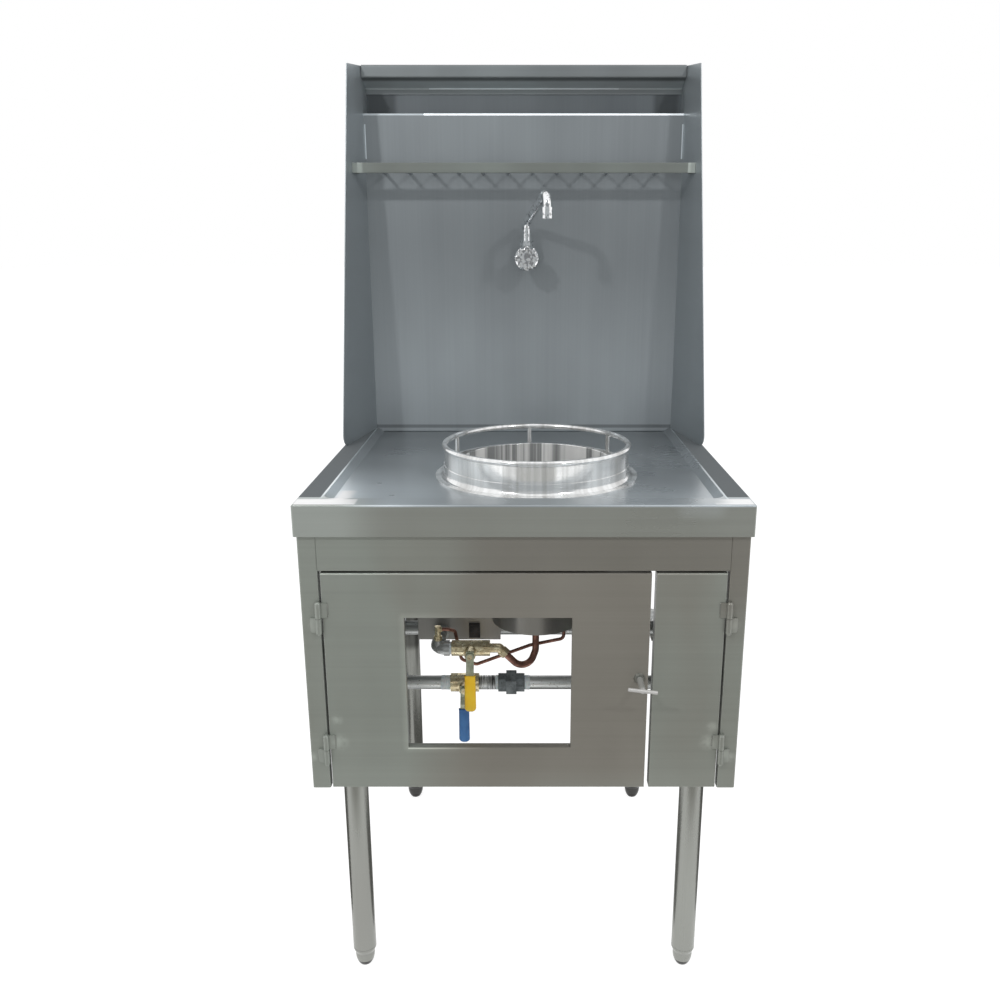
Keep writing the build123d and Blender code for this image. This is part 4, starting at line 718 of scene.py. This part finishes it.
def chamferedBlock(name, look):
    # four rectangles along Y, from back to front, of which the outer two are smaller by the chamfer
    low, high, chamfer = np.array(look["low"]), np.array(look["high"]), look["chamfer"]
    places = np.array((high[1], high[1] - chamfer, low[1] + chamfer, low[1]))[:, None]
    inset = np.array((chamfer, 0, 0, chamfer))[:, None]
    x = np.where((False, True, True, False), high[0] - inset, low[0] + inset)
    z = np.where((False, False, True, True), high[2] - inset, low[2] + inset)
    points = np.stack((x, np.broadcast_to(places, x.shape), z), axis=-1)
    finish = nodes[look["finishOf"]].material_slots[0].material
    return meshFromGrid(name, points, finish, "range", smooth=False)


for name, look in plates.items():
    chamferedBlock(name, look)
print("bracket plate hung")


# weld beads beside the hinge leaves: each ends a gap before the other leaf and an inset before its own end
beadLook = {"radius": 0.0014, "ripple": 0.22, "ripplePitch": 0.0021, "rowsPerRipple": 6, "columns": 14}
hinge = {"leaf": 0.028, "gap": 0.002, "inset": 0.004, "beyond": 0.0002}


def weldBead(name, start, end, body, slot, look=beadLook):
    # a round profile carried along an upright line; its radius ripples with the distance and tapers at both
    # ends
    start, end = np.array(start), np.array(end)
    length = np.linalg.norm(end - start)
    along = np.linspace(0, 1, int(length / look["ripplePitch"] * look["rowsPerRipple"]))[:, None]
    angle = circle(look["columns"])
    direction = (end - start) / length
    side = np.cross(direction, (0, 1, 0))
    front = np.cross(side, direction)
    taper = np.sqrt(np.clip(np.minimum(along, 1 - along) * length / look["radius"] / 2, 0, 1))
    wave = 1 + look["ripple"] * np.abs(np.sin(np.pi * along * length / look["ripplePitch"]))
    radius = look["radius"] * taper * wave / (1 + look["ripple"])
    points = start + direction * length * along[:, :, None]
    points = points + side * (radius * np.cos(angle))[:, :, None]
    points = points + front * (radius * np.sin(angle))[:, :, None]
    return meshFromGrid(name, points, steelTube, body)


def hingeBeads(side, word):
    # beads along the outer edges of the leaves on post and door, at the lower and the upper hinge
    doorBody = word.lower() + "_door_body"
    doorKnuckles = word.lower() + "_door_knuckles"
    postX = side * (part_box("hinge_post_knuckles")[1].x + hinge["beyond"])
    doorX = side * (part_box("right_door_knuckles")[0].x - hinge["beyond"])
    y = frontY - hinge["beyond"]
    levels = {
        "Low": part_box("hinge_post_knuckles")[0].z + hinge["leaf"],
        "High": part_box(doorKnuckles)[1].z - hinge["leaf"],
    }
    far, near = hinge["leaf"] - hinge["inset"], hinge["gap"]
    for level, z in levels.items():
        post = (postX, y, z - far), (postX, y, z - near)
        door = (doorX, y, z + near), (doorX, y, z + far)
        weldBead("postBead" + word + level, *post, "range", "hinge_post_knuckles")
        weldBead("doorBead" + word + level, *door, doorBody, doorKnuckles)


hingeBeads(-1, "Left")
hingeBeads(1, "Right")
print("weld beads laid")


# studio: white air, a pale floor, soft lamps and grey flags that only the metal sees
studio = {
    "air": 0.62, "floorColour": 0.5, "floorGlow": 0.8, "floorHalf": 30, "floorBack": 60, "aim": (0, 0, 0.9),
    "lamps": (
        {"name": "keyLamp", "place": (-1.45, -2.1, 2.75), "size": 0.14, "power": 22, "mirrored": True},
        {"name": "fillLamp", "place": (1.45, -2.1, 2.75), "size": 0.14, "power": 16, "mirrored": True},
        {"name": "frontLamp", "place": (0.0, -3.2, 1.3), "size": 2.0, "power": 25, "mirrored": False},
    ),
}
flags = {
    "frontWallFlag": {
        "corners": ((-4, -4.2, 0), (4, -4.2, 0), (4, -4.2, 5), (-4, -4.2, 5)), "colour": (0.38, 0.40, 0.41),
    },
    "frontFloorFlag": {
        "corners": ((-1.5, -4.1, 0.01), (1.5, -4.1, 0.01), (1.1, -0.75, 0.01), (-1.1, -0.75, 0.01)),
        "colour": (0.38, 0.37, 0.335),
    },
    # painted shade: this and the next two dark floor flags stand for the shaded floor under and beside the
    # cabinet, as the metal mirrors it
    "leftFloorFlag": {
        "corners": ((-1.6, -0.35, 0.01), (-0.42, -0.22, 0.01), (-0.42, 1.2, 0.01), (-1.6, 1.2, 0.01)),
        "colour": (0.16, 0.16, 0.15),
    },
    "rightFloorFlag": {
        "corners": ((0.42, -0.22, 0.01), (1.6, -0.35, 0.01), (1.6, 1.2, 0.01), (0.42, 1.2, 0.01)),
        "colour": (0.16, 0.16, 0.15),
    },
    "middleFloorFlag": {
        "corners": ((-0.2, -0.22, 0.01), (0.2, -0.22, 0.01), (0.2, 1.2, 0.01), (-0.2, 1.2, 0.01)),
        "colour": (0.2, 0.2, 0.19),
    },
}


def seenDirectly(start):
    # 1 for what the camera, a mirror or glass sees, else 0
    camera = start.node("LightPath", output="Is Camera Ray")
    glossy = start.node("LightPath", output="Is Glossy Ray")
    through = start.node("LightPath", output="Is Transmission Ray")
    return camera.highest(glossy).highest(through)


def paintAir(look):
    # a white background, and a dimmer white that lights the object
    world = bpy.data.worlds.new("studioAir")
    bpy.context.scene.world = world
    world.use_nodes = True
    world.node_tree.nodes.clear()
    start = Wire(world.node_tree)
    strength = seenDirectly(start) * (1 - look["air"]) + look["air"]
    air = start.node("Background", None, {"Color": (1, 1, 1, 1), "Strength": strength})
    start.node("OutputWorld", None, {"Surface": air})


def stageSheet(name, corners, finish):
    mesh = bpy.data.meshes.new(name)
    mesh.from_pydata(list(corners), [], [(0, 1, 2, 3)])
    mesh.materials.append(finish)
    sheet = bpy.data.objects.new(name, mesh)
    bpy.context.scene.collection.objects.link(sheet)
    return sheet


def paintFloor(look):
    # a pale matt floor that glows where it is seen, so that it stays white around the object's shadow
    finish, start = newFinish("paleFloor")
    matt = start.node("BsdfDiffuse", None, {"Color": (look["floorColour"],) * 3 + (1,)})
    strength = seenDirectly(start) * look["floorGlow"]
    glow = start.node("Emission", None, {"Color": (1, 1, 1, 1), "Strength": strength})
    both = start.node("AddShader", None, {0: matt, 1: glow})
    start.node("OutputMaterial", None, {"Surface": both})
    half, back = look["floorHalf"], look["floorBack"]
    corners = (-half, -half, 0), (half, -half, 0), (half, back, 0), (-half, back, 0)
    stageSheet("studioFloor", corners, finish)


def hangFlag(name, look):
    # a plain glowing sheet that only reflections show
    finish, start = newFinish(name)
    glow = start.node("Emission", None, {"Color": (*look["colour"], 1), "Strength": 1.0})
    start.node("OutputMaterial", None, {"Surface": glow})
    sheet = stageSheet(name, look["corners"], finish)
    sheet.visible_camera = False
    sheet.visible_diffuse = False
    sheet.visible_transmission = False
    sheet.visible_shadow = False


def hangLamp(look, aim):
    data = bpy.data.lights.new(look["name"], "AREA")
    data.shape = "SQUARE"
    data.size = look["size"]
    data.energy = look["power"]
    lamp = bpy.data.objects.new(look["name"], data)
    lamp.location = look["place"]
    lamp.rotation_euler = (Vector(aim) - Vector(look["place"])).to_track_quat("-Z", "Y").to_euler()
    lamp.visible_glossy = look["mirrored"]
    bpy.context.scene.collection.objects.link(lamp)


paintAir(studio)
paintFloor(studio)
for name, look in flags.items():
    hangFlag(name, look)
for look in studio["lamps"]:
    hangLamp(look, studio["aim"])
print("studio lit")
